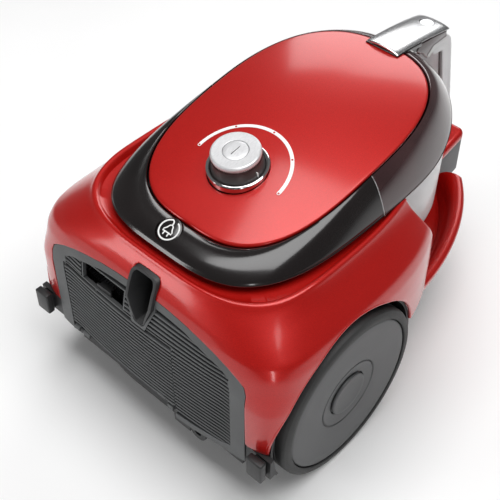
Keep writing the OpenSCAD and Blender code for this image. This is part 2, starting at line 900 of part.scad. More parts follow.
// Gland where the mains lead leaves the machine
module cord_outlet() {
    color(gloss_black)
        difference() {
            union() {
                translate([-55, gland_y, 42]) rotate([-90, 0, 0]) cylinder(r = 9, h = gland_l, $fn = 48);
                box([-46, gland_y, 34], [-28, gland_y + gland_l, 50]);
            }
            translate([-55, 170, 42]) rotate([-90, 0, 0]) cylinder(r = 4, h = 30, $fn = 48);
        }
}

// ---------- Motor, filters and cord reel ----------

motor_x = -40;
motor_z = 122;

module along_y(y0, y1) {
    translate([motor_x, y0, motor_z]) rotate([-90, 0, 0]) linear_extrude(y1 - y0) children();
}

module motor_housing() {
    color("gainsboro")
        difference() {
            union() {
                along_y(44, 84) circle(r = 50, $fn = 96);
                along_y(84, 146) circle(r = 36, $fn = 96);
            }
            along_y(46, 82) circle(r = 47.5, $fn = 96);
            along_y(82, 143) circle(r = 33.5, $fn = 96);
            along_y(40, 50) circle(r = 20, $fn = 64);
            along_y(140, 150) circle(r = 4 + fit_gap, $fn = 32);
            for (a = [0:30:330])
                translate([motor_x, 110, motor_z]) rotate([0, a, 0]) box([30, 0, -3], [40, 26, 3]);
        }
}

module motor_rotor() {
    color(steel) {
        along_y(50, 62) difference() {
            circle(r = 44, $fn = 96);
            circle(r = 4, $fn = 32);
        }
        along_y(48, 154) circle(r = 4, $fn = 32);
    }
    color(copper) along_y(88, 128) difference() {
        circle(r = 26, $fn = 64);
        circle(r = 4, $fn = 32);
    }
}

// Rubber ring and cradle that hold the motor off the base
module motor_mount() {
    color("dimgray")
        difference() {
            union() {
                along_y(50, 78) circle(r = 53.5, $fn = 96);
                box([motor_x - 30, 50, 60], [motor_x + 30, 78, 90]);
                box([motor_x - 24, 118, 60], [motor_x + 24, 134, 98]);
            }
            along_y(40, 90) circle(r = 50.2, $fn = 96);
            along_y(84, 150) circle(r = 36.2, $fn = 96);
        }
}

module premotor_filter() {
    color(foam)
        translate([motor_x, 18.5, motor_z]) rotate([-90, 0, 0]) cylinder(r = 44, h = 16, $fn = 64);
}

drum_y = 102;
drum_z = 126;
drum_x0 = 28;
drum_x1 = 78;

module cord_drum() {
    color("black")
        difference() {
            union() {
                rod_x(60, drum_x0, drum_x0 + 2.5, drum_y, drum_z, 96);
                rod_x(60, drum_x1 - 2.5, drum_x1, drum_y, drum_z, 96);
                rod_x(22, drum_x0, drum_x1, drum_y, drum_z, 64);
                rod_x(52, drum_x0 + 3.5, drum_x1 - 3.5, drum_y, drum_z, 96);
            }
            rod_x(axle_r + fit_gap, 0, 120, drum_y, drum_z, 48);
        }
}

module drum_axle() {
    color(steel)
        union() {
            rod_x(axle_r, drum_x0 - 8, drum_x1 + 9, drum_y, drum_z, 48);
            for (x = [drum_x0 - 8, drum_x1 + 4])
                box([x, drum_y - 12, 60], [x + 4, drum_y + 12, drum_z + 8]);
        }
}

// ---------- Side wheels ----------

module wheel_well(side) {
    color(gloss_black)
        on_side(side)
            difference() {
                union() {
                    rod_x(well_r + 2.5, well_x - 2.5, face_x - 8, axle_y, axle_z, 96);
                    rod_x(13, well_x - 14, well_x + 1, axle_y, axle_z, 64);
                }
                rod_x(well_r, well_x, face_x, axle_y, axle_z, 96);
                rod_x(axle_r, 0, face_x, axle_y, axle_z, 48);
                box([0, -50, -50], [200, 300, 26]);
                box([well_x + 1, axle_y - 100, -50], [200, axle_y + 100, 44]);
            }
}

module left_wheel_well() wheel_well(-1);
module right_wheel_well() wheel_well(1);

module axle(side) {
    color(steel) on_side(side) rod_x(axle_r, well_x - 16, face_x - 5, axle_y, axle_z, 48);
}

module left_axle() axle(-1);
module right_axle() axle(1);

module tyre(side) {
    color("black")
        on_side(side)
            translate([face_x - wheel_w, axle_y, axle_z])
                rotate([0, 90, 0])
                    rotate_extrude($fn = 128)
                        polygon([
                            [disc_r + 0.6, 0], [tyre_r - 3, 0], [tyre_r - 1, 1.2], [tyre_r, 4],
                            [tyre_r, wheel_w - 6], [tyre_r - 1, wheel_w - 2.4], [tyre_r - 3, wheel_w - 0.6],
                            [disc_r + 3, wheel_w], [disc_r + 0.6, wheel_w - 0.8]
                        ]);
}

module left_tyre() tyre(-1);
module right_tyre() tyre(1);

module wheel_disc(side) {
    color(dark_grey)
        on_side(side)
            translate([face_x - wheel_w, axle_y, axle_z])
                rotate([0, 90, 0])
                    rotate_extrude($fn = 128)
                        polygon([
                            [axle_r + fit_gap, 1], [13, 1], [13, wheel_w - 7], [disc_r - 3, wheel_w - 4.5],
                            [disc_r - 3, 2], [disc_r + 0.5, 2], [disc_r + 0.5, wheel_w - 3],
                            [disc_r - 1.5, wheel_w - 0.8], [32, wheel_w - 2.2], [31, wheel_w - 3.4],
                            [29.6, wheel_w - 2.4], [20, wheel_w - 3.6], [axle_r + fit_gap, wheel_w - 3.6]
                        ]);
}

module left_wheel_disc() wheel_disc(-1);
module right_wheel_disc() wheel_disc(1);

module hub_cap(side) {
    color(dark_grey)
        on_side(side)
            translate([face_x - 3.5, axle_y, axle_z])
                rotate([0, 90, 0])
                    rotate_extrude($fn = 96)
                        polygon([[0, 0], [19.5, 0], [19.5, 1.8], [18.3, 2.7], [9, 1.9], [0, 1.4]]);
}

module left_hub_cap() hub_cap(-1);
module right_hub_cap() hub_cap(1);

// ---------- Front caster ----------

fork_w2 = 11;
caster_axle_r = 2.5;
wheel_at = [0, caster_y + caster_trail, caster_r];

module caster_fork() {
    color(dark_grey)
        difference() {
            union() {
                translate([0, caster_y, 28]) cylinder(r = 6, h = 24, $fn = 48);
                translate([0, caster_y, 28]) cylinder(r = 14, h = 4.4, $fn = 64);
                for (side = [-1, 1])
                    on_side(side) {
                        box([fork_w2 - 3, caster_y - 7, 10], [fork_w2, caster_y + caster_trail + 6, 32.4]);
                        box([fork_w2 - 3, caster_y - 8, 28], [fork_w2, caster_y + 14, 32.4]);
                    }
            }
            rod_x(caster_axle_r, -50, 50, wheel_at[1], wheel_at[2], 48);
            rod_x(caster_r + 1.5, 3 - fork_w2, fork_w2 - 3, wheel_at[1], wheel_at[2], 64);
        }
}

module caster_wheel() {
    color("black")
        difference() {
            rod_x(caster_r, -7.4, 7.4, wheel_at[1], wheel_at[2], 96);
            rod_x(caster_axle_r + fit_gap, -20, 20, wheel_at[1], wheel_at[2], 48);
        }
}

module caster_axle() {
    color(steel) rod_x(caster_axle_r, -fork_w2, fork_w2, wheel_at[1], wheel_at[2], 48);
}

// Screws that close the base to the shells
module screws() {
    color(steel)
        for (at = [[-60, 150], [60, 150], [-60, 30], [60, 30], [-50, -70], [50, -70]])
            translate([at[0], at[1], 20]) {
                cylinder(r = 4, h = 1.9, $fn = 32);
                cylinder(r = 1.75, h = 14, $fn = 32);
            }
}

base_tray();
motor_deck();
rear_shell();
front_tray();
bin_cradle();
hood_frame();
top_panel();
rear_rim();
hose_port();
port_seal();
inlet_duct();
rewind_button();
rewind_spring();
power_scale();
knob_bezel();
power_knob();
power_button();
power_spring();
control_board();
bin_cup();
bin_lid();
bin_seal();
cyclone_cone();
mesh_filter();
handle_leg();
handle_beam();
handle_cover();
release_button();
release_spring();
exhaust_grille();
filter_door();
door_pin();
door_latch();
exhaust_filter();
parking_slot();
left_bumper();
right_bumper();
cord_outlet();
cord_drum();
drum_axle();
motor_housing();
motor_rotor();
motor_mount();
premotor_filter();
left_wheel_well();
right_wheel_well();
left_tyre();
left_wheel_disc();
left_hub_cap();
left_axle();
right_tyre();
right_wheel_disc();
right_hub_cap();
right_axle();
caster_fork();
caster_wheel();
caster_axle();
screws();
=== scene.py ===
import json
from contextlib import contextmanager
from math import copysign, cos, dist, pi, radians, sin, sqrt, tan

import bmesh
import bpy
from mathutils import Matrix, Vector


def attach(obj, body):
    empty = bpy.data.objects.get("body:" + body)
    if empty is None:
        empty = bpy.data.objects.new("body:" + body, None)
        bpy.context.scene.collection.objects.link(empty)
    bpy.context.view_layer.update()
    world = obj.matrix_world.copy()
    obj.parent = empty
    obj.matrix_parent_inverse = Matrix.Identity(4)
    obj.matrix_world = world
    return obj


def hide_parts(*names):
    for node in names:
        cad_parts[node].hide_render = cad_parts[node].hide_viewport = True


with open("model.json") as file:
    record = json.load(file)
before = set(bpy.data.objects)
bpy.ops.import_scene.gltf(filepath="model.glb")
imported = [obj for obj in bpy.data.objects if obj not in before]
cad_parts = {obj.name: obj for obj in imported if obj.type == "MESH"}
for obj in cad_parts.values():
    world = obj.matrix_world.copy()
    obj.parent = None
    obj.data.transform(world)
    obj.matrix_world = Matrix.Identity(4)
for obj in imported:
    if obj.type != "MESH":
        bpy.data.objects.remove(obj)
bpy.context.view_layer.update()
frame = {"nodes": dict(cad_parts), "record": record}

MM = 0.001
SIDES = {"left": -1, "right": 1}
SCENE = bpy.context.scene

# ---- mesh helpers


@contextmanager
def editing(mesh):
    bm = bmesh.new()
    bm.from_mesh(mesh)
    yield bm
    bm.to_mesh(mesh)
    bm.free()


def add_object(name, data):
    ob = bpy.data.objects.new(name, data)
    SCENE.collection.objects.link(ob)
    return ob


def shade(ob, angle=32):
    """Smooth shading with hard edges only where two faces meet at more than the angle."""
    limit = radians(angle)
    with editing(ob.data) as bm:
        for face in bm.faces:
            face.smooth = True
        for edge in bm.edges:
            edge.smooth = len(edge.link_faces) == 2 and edge.calc_face_angle(0) < limit


def make(name, verts, faces, angle=32):
    """A mesh object from points in millimetres."""
    mesh = bpy.data.meshes.new(name)
    mesh.from_pydata([[c * MM for c in v] for v in verts], [], faces)
    with editing(mesh) as bm:
        bmesh.ops.remove_doubles(bm, verts=bm.verts, dist=1e-6)
        bmesh.ops.recalc_face_normals(bm, faces=bm.faces)
    ob = add_object(name, mesh)
    shade(ob, angle)
    return ob


def bake(ob, angle=32):
    """Applies the modifiers."""
    graph = bpy.context.evaluated_depsgraph_get()
    mesh = bpy.data.meshes.new_from_object(ob.evaluated_get(graph))
    ob.modifiers.clear()
    ob.data = mesh
    shade(ob, angle)
    return ob


def drop(ob):
    bpy.data.objects.remove(ob, do_unlink=True)


def boolean(ob, *others, op="DIFFERENCE", angle=32):
    for other in others:
        mod = ob.modifiers.new("cut", "BOOLEAN")
        mod.operation = op
        mod.solver = "EXACT"
        mod.object = other
        bake(ob, angle)
        drop(other)
    return ob


def bevel(ob, width, segments=3, limit=40, angle=32):
    mod = ob.modifiers.new("bevel", "BEVEL")
    mod.width = width * MM
    mod.segments = segments
    mod.limit_method = "ANGLE"
    mod.angle_limit = radians(limit)
    mod.use_clamp_overlap = True
    mod.miter_outer = "MITER_ARC"
    return bake(ob, angle)


def place(ob, at=(0, 0, 0), turn=None):
    """Moves a mesh's points: turn is a 3 x 3 or 4 x 4 matrix, at is in millimetres."""
    matrix = Matrix.Translation(Vector(at) * MM) @ (turn.to_4x4() if turn else Matrix.Identity(4))
    ob.data.transform(matrix)
    if matrix.determinant() < 0:
        ob.data.flip_normals()
    return ob


def merge(name, *obs, angle=32):
    """One object from several."""
    bm = bmesh.new()
    for ob in obs:
        bm.from_mesh(ob.data)
    mesh = bpy.data.meshes.new(name)
    bm.to_mesh(mesh)
    bm.free()
    ob = add_object(name, mesh)
    for old in obs:
        drop(old)
    shade(ob, angle)
    return ob


def rounded_box(low, high, r=0.0, segments=3):
    x0, y0, z0 = low
    x1, y1, z1 = high
    verts = [(x, y, z) for x in (x0, x1) for y in (y0, y1) for z in (z0, z1)]
    faces = [(0, 1, 3, 2), (4, 6, 7, 5), (0, 4, 5, 1), (2, 3, 7, 6), (0, 2, 6, 4), (1, 5, 7, 3)]
    ob = make("block", verts, faces)
    return bevel(ob, r, segments) if r else ob


def grid_faces(rows, cols, wrap_cols=True, wrap_rows=False, keep=None):
    faces = []
    for j in range(rows if wrap_rows else rows - 1):
        for i in range(cols if wrap_cols else cols - 1):
            if keep and not keep(j, i):
                continue
            a, b = j * cols + i, j * cols + (i + 1) % cols
            c, d = (j + 1) % rows * cols + i, (j + 1) % rows * cols + (i + 1) % cols
            faces.append((a, b, d, c))
    return faces


def loft(name, rings, closed=False, angle=32):
    """Closed sections joined in order. closed joins the last to the first, else both ends are filled."""
    cols = len(rings[0])
    verts = [p for ring in rings for p in ring]
    faces = grid_faces(len(rings), cols, True, closed)
    if not closed:
        last = (len(rings) - 1) * cols
        faces.append(tuple(range(cols))[::-1])
        faces.append(tuple(last + i for i in range(cols)))
    return make(name, verts, faces, angle)


def lathe(name, profile, steps=192, at=(0, 0, 0), turn=None, closed=True):
    """Turns (radius, height) points round Z."""
    rings = []
    for r, h in profile:
        rings.append([
            (r * cos(2 * pi * i / steps), r * sin(2 * pi * i / steps), h)
            for i in range(steps)
        ])
    ob = loft(name, rings, closed, angle=28)
    return place(ob, at, turn)


def drill(r, low, high, at, turn=None, steps=96):
    """A round cutter along its own Z."""
    return lathe("hole", [(r, low), (r, high)], steps, at, turn, False)


def drawn(name, near, far):
    """A solid between two equal outlines."""
    n = len(near)
    faces = [tuple(range(n)), tuple(range(2 * n - 1, n - 1, -1))]
    faces += [(i, n + i, n + (i + 1) % n, (i + 1) % n) for i in range(n)]
    return make(name, near + far, faces)


def upright(name, points, y0, y1):
    """An (x, z) outline drawn along Y."""
    return drawn(name, [(x, y0, z) for x, z in points], [(x, y1, z) for x, z in points])


def prism(name, points, x0, x1, round_by=0):
    """A (y, z) outline drawn along X."""
    ob = drawn(name, [(x0, y, z) for y, z in points], [(x1, y, z) for y, z in points])
    return bevel(ob, round_by) if round_by else ob


def both_sides(name, points, near, far, round_by):
    """The same bar on both sides, between two distances from the middle."""
    spans = [sorted((side * near, side * far)) for side in SIDES.values()]
    return [prism(name, points, x0, x1, round_by) for x0, x1 in spans]


def tube(name, path, r, steps=12, closed=False):
    """A round bar through points in millimetres."""
    rings = []
    n = len(path)
    up = Vector((0.13, 0.21, 0.97)).normalized()
    for i, p in enumerate(path):
        a = Vector(path[(i - 1) % n] if closed or i else path[0])
        b = Vector(path[(i + 1) % n] if closed or i < n - 1 else path[-1])
        along = (b - a).normalized()
        side = along.cross(up).normalized()
        top = side.cross(along)
        turns = [2 * pi * k / steps for k in range(steps)]
        rings.append([Vector(p) + side * (r * cos(t)) + top * (r * sin(t)) for t in turns])
    return loft(name, rings, closed, angle=60)


def lerp(table, at):
    """Piecewise-linear rows (key, values...) at a key."""
    if at <= table[0][0]:
        return table[0][1:]
    for a, b in zip(table, table[1:]):
        if at <= b[0]:
            t = (at - a[0]) / (b[0] - a[0])
            return [p + (q - p) * t for p, q in zip(a[1:], b[1:])]
    return table[-1][1:]


def smooth(table, at, reach):
    """The same rows, rounded off over a reach to each side."""
    n = 9
    rows = [lerp(table, at + reach * (2 * k / (n - 1) - 1)) for k in range(n)]
    weights = [1 + cos(pi * (2 * k / (n - 1) - 1)) + 0.05 for k in range(n)]
    total = sum(weights)
    return [sum(w * row[c] for w, row in zip(weights, rows)) / total for c in range(len(rows[0]))]


def quarter_turn(steps, first=0):
    """Angles from 0 to a right angle in even steps."""
    return [pi / 2 * k / steps for k in range(first, steps + 1)]


def turn_x(degrees):
    return Matrix.Rotation(radians(degrees), 3, "X")


def to_x(side):
    """Turns +Z to the outward X of one side."""
    return Matrix.Rotation(radians(90 * side), 3, "Y")


# ---- outlines


def even(points, count):
    """Points at even steps along a line of points, without the far end."""
    run = [0.0]
    for p, q in zip(points, points[1:]):
        run.append(run[-1] + dist(p, q))
    out, k = [], 0
    for i in range(count):
        want = run[-1] * i / count
        while run[k + 1] < want:
            k += 1
        t = (want - run[k]) / (run[k + 1] - run[k])
        out.append(tuple(u + (v - u) * t for u, v in zip(points[k], points[k + 1])))
    return out


def quadrant(a, b, n, per):
    """Evenly spaced points of a superellipse's first quarter, its far end left out."""
    dense = []
    for t in quarter_turn(240):
        c, s = cos(t), sin(t)
        r = ((c / a) ** n + (s / b) ** n) ** (-1 / n)
        dense.append((r * c, r * s))
    return even(dense, per)


def outline(cy, a, rear, front, n_rear, n_front, per=48):
    """Closed plan outline about (0, cy): half width a, reaching rear and front."""
    r = quadrant(a, rear, n_rear, per)
    f = quadrant(a, front, n_front, per)
    r_end, f_end = (0.0, rear), (0.0, front)
    pts = r + [(-x, y) for x, y in [r_end] + r[:0:-1]]
    pts += [(-x, -y) for x, y in f]
    pts += [(x, -y) for x, y in [f_end] + f[:0:-1]]
    return [(x, cy + y) for x, y in pts]


PANEL_W, PANEL_L, PANEL_CY, CROWN = 82, 121, 17, 7
RIM_CY, RIM_W, RIM_L = 19, 99, 147
SPLIT_Y = 24


def panel_z(y):
    return 223 - 0.186 * (y - 60) - 0.00045 * (y - 60) ** 2


def panel_top(x, y):
    n = 3 if y > PANEL_CY else 2.5
    s = ((abs(x) / PANEL_W) ** n + (abs(y - PANEL_CY) / PANEL_L) ** n) ** (1 / n)
    return panel_z(y) + CROWN * (1 - s * s)


def panel_outline(grow, scale):
    a, b = (PANEL_W + grow) * scale, (PANEL_L + grow) * scale
    return outline(PANEL_CY, a, b, b, 3, 2.5)


def rim_low(y):
    return 199 + (0.0032 * (-40 - y) ** 2 if y < -40 else 0)


def rim_ring(along, inset, down):
    """A ring of the rim, from the panel's edge (0) to the low outer edge (1)."""
    inner = panel_outline(1.3, 1)
    outer = outline(RIM_CY, RIM_W - inset, RIM_L - inset, RIM_L - inset, 3.4, 2.65)
    pts = []
    for p, q in zip(inner, outer):
        x, y = (u * (1 - along) + v * along for u, v in zip(p, q))
        top, low = panel_z(p[1]) - 0.6, rim_low(q[1])
        pts.append((x, y, top * (1 - along) + low * along + 16 * along * (1 - along) - down))
    return pts


# ---- materials


class Nodes:
    """A short hand for one material's node tree."""

    def __init__(self, name):
        self.mat = bpy.data.materials.new(name)
        self.mat.use_nodes = True
        self.tree = self.mat.node_tree
        self.shader = self.tree.nodes["Principled BSDF"]

    def add(self, kind, **values):
        node = self.tree.nodes.new(kind)
        for key, value in values.items():
            if key in node.inputs:
                node.inputs[key].default_value = value
            else:
                setattr(node, key, value)
        return node

    def link(self, a, out, b, into):
        self.tree.links.new(a.outputs[out], b.inputs[into])

    def set(self, **values):
        for key, value in values.items():
            self.shader.inputs[key.replace("_", " ")].default_value = value

    def textured(self, kind, **values):
        """A texture in the object's own coordinates."""
        texture = self.add(kind, **values)
        self.link(self.add("ShaderNodeTexCoord"), "Object", texture, "Vector")
        return texture

    def noise(self, scale, detail=3.0, stretch=(1, 1, 1)):
        coord = self.add("ShaderNodeTexCoord")
        mapping = self.add("ShaderNodeMapping")
        mapping.inputs["Scale"].default_value = stretch
        noise = self.add("ShaderNodeTexNoise", Scale=scale, Detail=detail)
        self.link(coord, "Object", mapping, "Vector")
        self.link(mapping, "Vector", noise, "Vector")
        return noise

    def ramp(self, source, low, high, at=(0.35, 0.65), out="Fac"):
        ramp = self.add("ShaderNodeValToRGB")
        ramp.color_ramp.elements[0].position, ramp.color_ramp.elements[1].position = at
        ramp.color_ramp.elements[0].color = (*low, 1)
        ramp.color_ramp.elements[1].color = (*high, 1)
        self.link(source, out, ramp, "Fac")
        self.link(ramp, "Color", self.shader, "Base Color")

    def rough(self, source, low, high):
        span = self.add("ShaderNodeMapRange")
        span.inputs["To Min"].default_value = low
        span.inputs["To Max"].default_value = high
        self.link(source, "Fac", span, "Value")
        self.link(span, "Result", self.shader, "Roughness")

    def bump(self, source, strength, distance, out="Fac"):
        bump = self.add("ShaderNodeBump", Strength=strength, Distance=distance)
        self.link(source, out, bump, "Height")
        self.link(bump, "Normal", self.shader, "Normal")


def mixed(colour, by):
    return tuple(min(1, c * by) for c in colour)


def plastic(name, colour, rough, grain, bump, spread):
    """Moulded plastic: a slight change of tone, a fine grain and uneven gloss."""
    n = Nodes(name)
    broad = n.noise(18)
    fine = n.noise(grain, 2)
    n.ramp(broad, mixed(colour, 1 - spread), mixed(colour, 1 + spread))
    n.rough(fine, *rough)
    n.bump(fine, bump, 0.0002)
    return n.mat


def red_paint():
    """Metallic red under clear lacquer: fine flakes, and a faint orange peel in the coat."""
    n = Nodes("red_paint")
    flakes = n.noise(2600, 1)
    n.ramp(flakes, (0.36, 0.003, 0.002), (0.58, 0.009, 0.005), (0.3, 0.75))
    n.set(Metallic=0.3, Coat_Weight=0.9, Coat_Roughness=0.14, Coat_IOR=1.42, IOR=1.35)
    broad = n.noise(30)
    n.rough(broad, 0.34, 0.42)
    peel = n.noise(260, 1)
    n.bump(peel, 0.02, 0.0002)
    return n.mat


def gloss_black():
    n = Nodes("gloss_black")
    broad = n.noise(14)
    n.ramp(broad, (0.006, 0.0045, 0.0045), (0.011, 0.008, 0.008))
    dust = n.noise(700, 4)
    n.rough(dust, 0.16, 0.24)
    n.set(Coat_Weight=0.5, Coat_Roughness=0.10)
    return n.mat


def smoky():
    """Clear smoky brown plastic."""
    n = Nodes("smoky_plastic")
    broad = n.noise(22)
    n.ramp(broad, (0.050, 0.019, 0.021), (0.075, 0.031, 0.033))
    n.rough(broad, 0.05, 0.08)
    n.set(Transmission_Weight=0.35, IOR=1.45, Coat_Weight=1.0, Coat_Roughness=0.05)
    return n.mat


def frosted():
    """Frosted clear plastic, milky with a soft sheen."""
    n = Nodes("frosted_plastic")
    broad = n.noise(25)
    n.ramp(broad, (0.84, 0.83, 0.84), (0.92, 0.92, 0.92))
    fine = n.noise(1600, 1)
    n.rough(fine, 0.26, 0.32)
    n.bump(fine, 0.02, 0.00005)
    n.set(Transmission_Weight=0.35, IOR=1.4, Subsurface_Weight=0.15, Coat_Weight=0.3, Coat_Roughness=0.12)
    n.shader.inputs["Subsurface Radius"].default_value = (0.01, 0.01, 0.01)
    return n.mat


def brushed(name, stretch, colour=(0.62, 0.62, 0.63), rough=(0.16, 0.34), metallic=1.0):
    """Plated metal with brush lines across one direction."""
    n = Nodes(name)
    lines = n.noise(60, 5, stretch)
    n.ramp(lines, mixed(colour, 0.86), mixed(colour, 1.12), (0.3, 0.7))
    n.set(Metallic=metallic)
    n.rough(lines, *rough)
    n.bump(lines, 0.10, 0.0001)
    return n.mat


def chrome():
    n = Nodes("bright_chrome")
    broad = n.noise(40)
    n.ramp(broad, (0.74, 0.74, 0.75), (0.84, 0.84, 0.85))
    n.set(Metallic=1.0)
    n.rough(n.noise(400, 3), 0.04, 0.10)
    return n.mat


def foam(name, colour):
    n = Nodes(name)
    cells = n.textured("ShaderNodeTexVoronoi", Scale=500.0)
    n.ramp(cells, mixed(colour, 0.5), mixed(colour, 1.3), (0.1, 0.6), "Distance")
    n.set(Roughness=0.95)
    n.bump(cells, 0.6, 0.001, "Distance")
    return n.mat


def pleated(name, colour):
    """Folded filter paper."""
    n = Nodes(name)
    wave = n.textured("ShaderNodeTexWave", Scale=110.0, Distortion=0.3)
    n.ramp(wave, mixed(colour, 0.55), mixed(colour, 1.15), (0.2, 0.8))
    n.set(Roughness=0.9)
    n.bump(wave, 0.7, 0.002)
    return n.mat


def rubber(name, colour, rough=(0.5, 0.68)):
    mat = plastic(name, colour, rough, 650, 0.25, 0.2)
    mat.node_tree.nodes["Principled BSDF"].inputs["IOR"].default_value = 1.48
    return mat


MATS = {
    "red": red_paint(),
    "gloss": gloss_black(),
    "smoky": smoky(),
    "frosted": frosted(),
    "brushed": brushed("brushed_cover", (1, 60, 60), (0.66, 0.66, 0.67), (0.20, 0.30)),
    "brushed_top": brushed("brushed_knob", (40, 2, 40), (0.72, 0.72, 0.73), (0.30, 0.45), 0.45),
    "chrome": chrome(),
    "steel": brushed("drawn_steel", (8, 8, 60), (0.45, 0.45, 0.46), (0.25, 0.45)),
    "mesh": brushed("filter_mesh", (60, 60, 60), (0.5, 0.5, 0.5), (0.3, 0.6)),
    "rotor": brushed("rotor_iron", (60, 4, 60), (0.42, 0.34, 0.27), (0.35, 0.6)),
    "black": plastic("grained_black", (0.018, 0.018, 0.019), (0.42, 0.58), 800, 0.3, 0.15),
    "grille": plastic("satin_grey", (0.085, 0.088, 0.09), (0.42, 0.55), 1100, 0.2, 0.1),
    "wheel": plastic("wheel_grey", (0.070, 0.071, 0.073), (0.42, 0.52), 1400, 0.2, 0.06),
    "grey": plastic("moulded_grey", (0.12, 0.12, 0.13), (0.42, 0.56), 800, 0.25, 0.12),
    "port": plastic("port_grey", (0.10, 0.10, 0.105), (0.38, 0.5), 900, 0.2, 0.1),
    "skirt": plastic("knob_skirt", (0.045, 0.038, 0.038), (0.28, 0.38), 1200, 0.15, 0.15),
    "tyre": rubber("tyre_rubber", (0.022, 0.022, 0.022)),
    "bumper": rubber("bumper_rubber", (0.02, 0.02, 0.021), (0.38, 0.5)),
    "seal": rubber("seal_rubber", (0.04, 0.04, 0.04)),
    "print": plastic("white_print", (0.86, 0.86, 0.85), (0.3, 0.4), 700, 0.05, 0.04),
    "board": plastic("circuit_board", (0.02, 0.14, 0.05), (0.3, 0.5), 300, 0.3, 0.4),
    "paper": pleated("filter_paper", (0.05, 0.05, 0.055)),
    "foam": foam("filter_foam", (0.10, 0.12, 0.18)),
}

# which CAD nodes each material dresses
DRESS = {
    "black": "base_tray motor_deck hood_frame door_pin cord_drum left_wheel_well right_wheel_well "
             "cord_outlet door_latch parking_slot",
    "grey": "bin_cradle inlet_duct cyclone_cone motor_housing caster_fork",
    "seal": "port_seal bin_seal motor_mount",
    "steel": "rewind_spring power_spring release_spring drum_axle left_axle right_axle caster_axle "
             "screws",
    "board": "control_board",
    "mesh": "mesh_filter",
    "paper": "exhaust_filter",
    "rotor": "motor_rotor",
    "foam": "premotor_filter",
    "tyre": "caster_wheel left_tyre right_tyre",
    "port": "hose_port",
    "red": "rear_shell front_tray top_panel",
    "gloss": "rear_rim rewind_button handle_beam",
    "print": "power_scale",
    "chrome": "knob_bezel",
    "brushed_top": "power_knob power_button",
    "frosted": "bin_cup handle_leg",
    "smoky": "bin_lid",
    "brushed": "handle_cover release_button",
    "grille": "exhaust_grille filter_door",
    "bumper": "left_bumper right_bumper",
    "wheel": "left_wheel_disc right_wheel_disc left_hub_cap right_hub_cap",
}
NODE_MATS = {node: mat for mat, nodes in DRESS.items() for node in nodes.split()}

BODY_OF = {node: body for body, nodes in frame["record"]["behaviour"]["bodies"].items() for node in nodes}


def dress_nodes():
    """Every carried-over CAD node gets its material."""
    for node, ob in frame["nodes"].items():
        ob.data.materials.clear()
        ob.data.materials.append(MATS[NODE_MATS[node]])


def finish_piece(ob, name, mat, node, replaces=True):
    """Names a piece, gives it its material and rides it on its node's body."""
    ob.name = name
    ob.data.name = name
    ob.data.materials.clear()
    ob.data.materials.append(MATS[mat])
    if replaces:
        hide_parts(node)
    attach(ob, BODY_OF[node])
    return ob


def extra_piece(ob, name, mat, node):
    """A piece that rides beside the one standing for its node."""
    return finish_piece(ob, name, mat, node, False)


# ---- red shells

SHELL_CY = 80
SHELL_FRONT = 160
# height, half width, rear reach, rear squareness
SHELL = [
    (60, 134, 108, 12), (80, 136.5, 111, 12), (126, 137, 112, 10), (142, 136.5, 111.5, 7.5),
    (156, 135.5, 110, 6.8), (166, 132.6, 108, 6), (176, 123, 105, 5.2), (186, 113.5, 100, 4.3),
    (192, 109.5, 96, 3.7), (196, 107.5, 93, 3.4),
]
# height, foremost y of the ears
EAR = [(94, -38), (108, -38), (125, -34), (150, -25), (170, -15), (185, -7), (196, -3)]
WHEEL_Y, WHEEL_Z = 99, 78
ARCH_R = 86


def shell_x(y, half, rear, n):
    """Half width of the shell's outline at y."""
    u = (y - SHELL_CY) / rear
    if y < SHELL_CY:
        u, n = (SHELL_CY - y) / SHELL_FRONT, 2.6
    return half * max(0.0, 1 - min(1, u) ** n) ** (1 / n)


def shell_level(z):
    """Half width, rear reach and squareness at a height, with the table's kinks smoothed."""
    return smooth(SHELL, z, 5)


def shell_row(z, inset=0.0, shown_z=None, level=False):
    """One level of the shell: from the right ear's front, round the rear, to the left ear's front."""
    half, rear, n = shell_level(z)
    half, rear = half - inset, rear - inset
    turn_y, steps = 100, 56
    front = smooth(EAR, z, 8)[0]
    ys = [front + (turn_y - front) * k / steps for k in range(steps)]
    ear = [(shell_x(y, half, rear, n), y) for y in ys]
    back = outline(SHELL_CY, half, rear, rear, n, n, 110)[:110]
    middle = (0.0, SHELL_CY + rear)
    dense = [(shell_x(turn_y, half, rear, n), turn_y)] + [p for p in back if p[1] > turn_y] + [middle]
    half_row = ear + even(dense, 90) + [middle]
    lift = z if shown_z is None else shown_z
    row = [(x, y, lift) for x, y in half_row] + [(-x, y, lift) for x, y in half_row[-2::-1]]
    # the top edge dips a little towards the middle of the rear
    sag = 0.0 if level else max(0.0, (z - 166) / 30)
    return [(x, y, h - 5 * sag * max(0.0, (y - 112) / 60) ** 1.3) for x, y, h in row]


def mirrored(half):
    """An outline from its right half, whose two ends lie on the middle line."""
    return half + [(-x, z) for x, z in half[-2:0:-1]]


def grille_points(grow=0.0):
    """Arch outline of the exhaust opening, (x, z)."""
    side = 108 + grow
    return mirrored([
        (0, 46 - grow), (50, 48 - grow), (90, 51 - grow), (side, 56 - grow), (side, 139 + grow),
        (side - 2.5, 146 + grow), (100, 150.5 + grow), (90, 156 + grow), (77, 160.5 + grow),
        (62, 164 + grow), (47, 166.6 + grow), (30, 168.2 + grow), (14, 168.9 + grow), (0, 169 + grow),
    ])


def slot_points(grow=0.0):
    """Outline of the parking slot, (x, z): a square with rounded shoulders on a narrow V."""
    w = 14 + grow
    return mirrored([
        (0, 137 - grow), (3.5, 137 - grow), (5.5 + grow, 138.5), (w, 160), (w, 179.5),
        (w - 0.8, 182.2 + grow * 0.7), (w - 2.6, 184 + grow), (w - 5, 184.6 + grow), (0, 184.8 + grow),
    ])


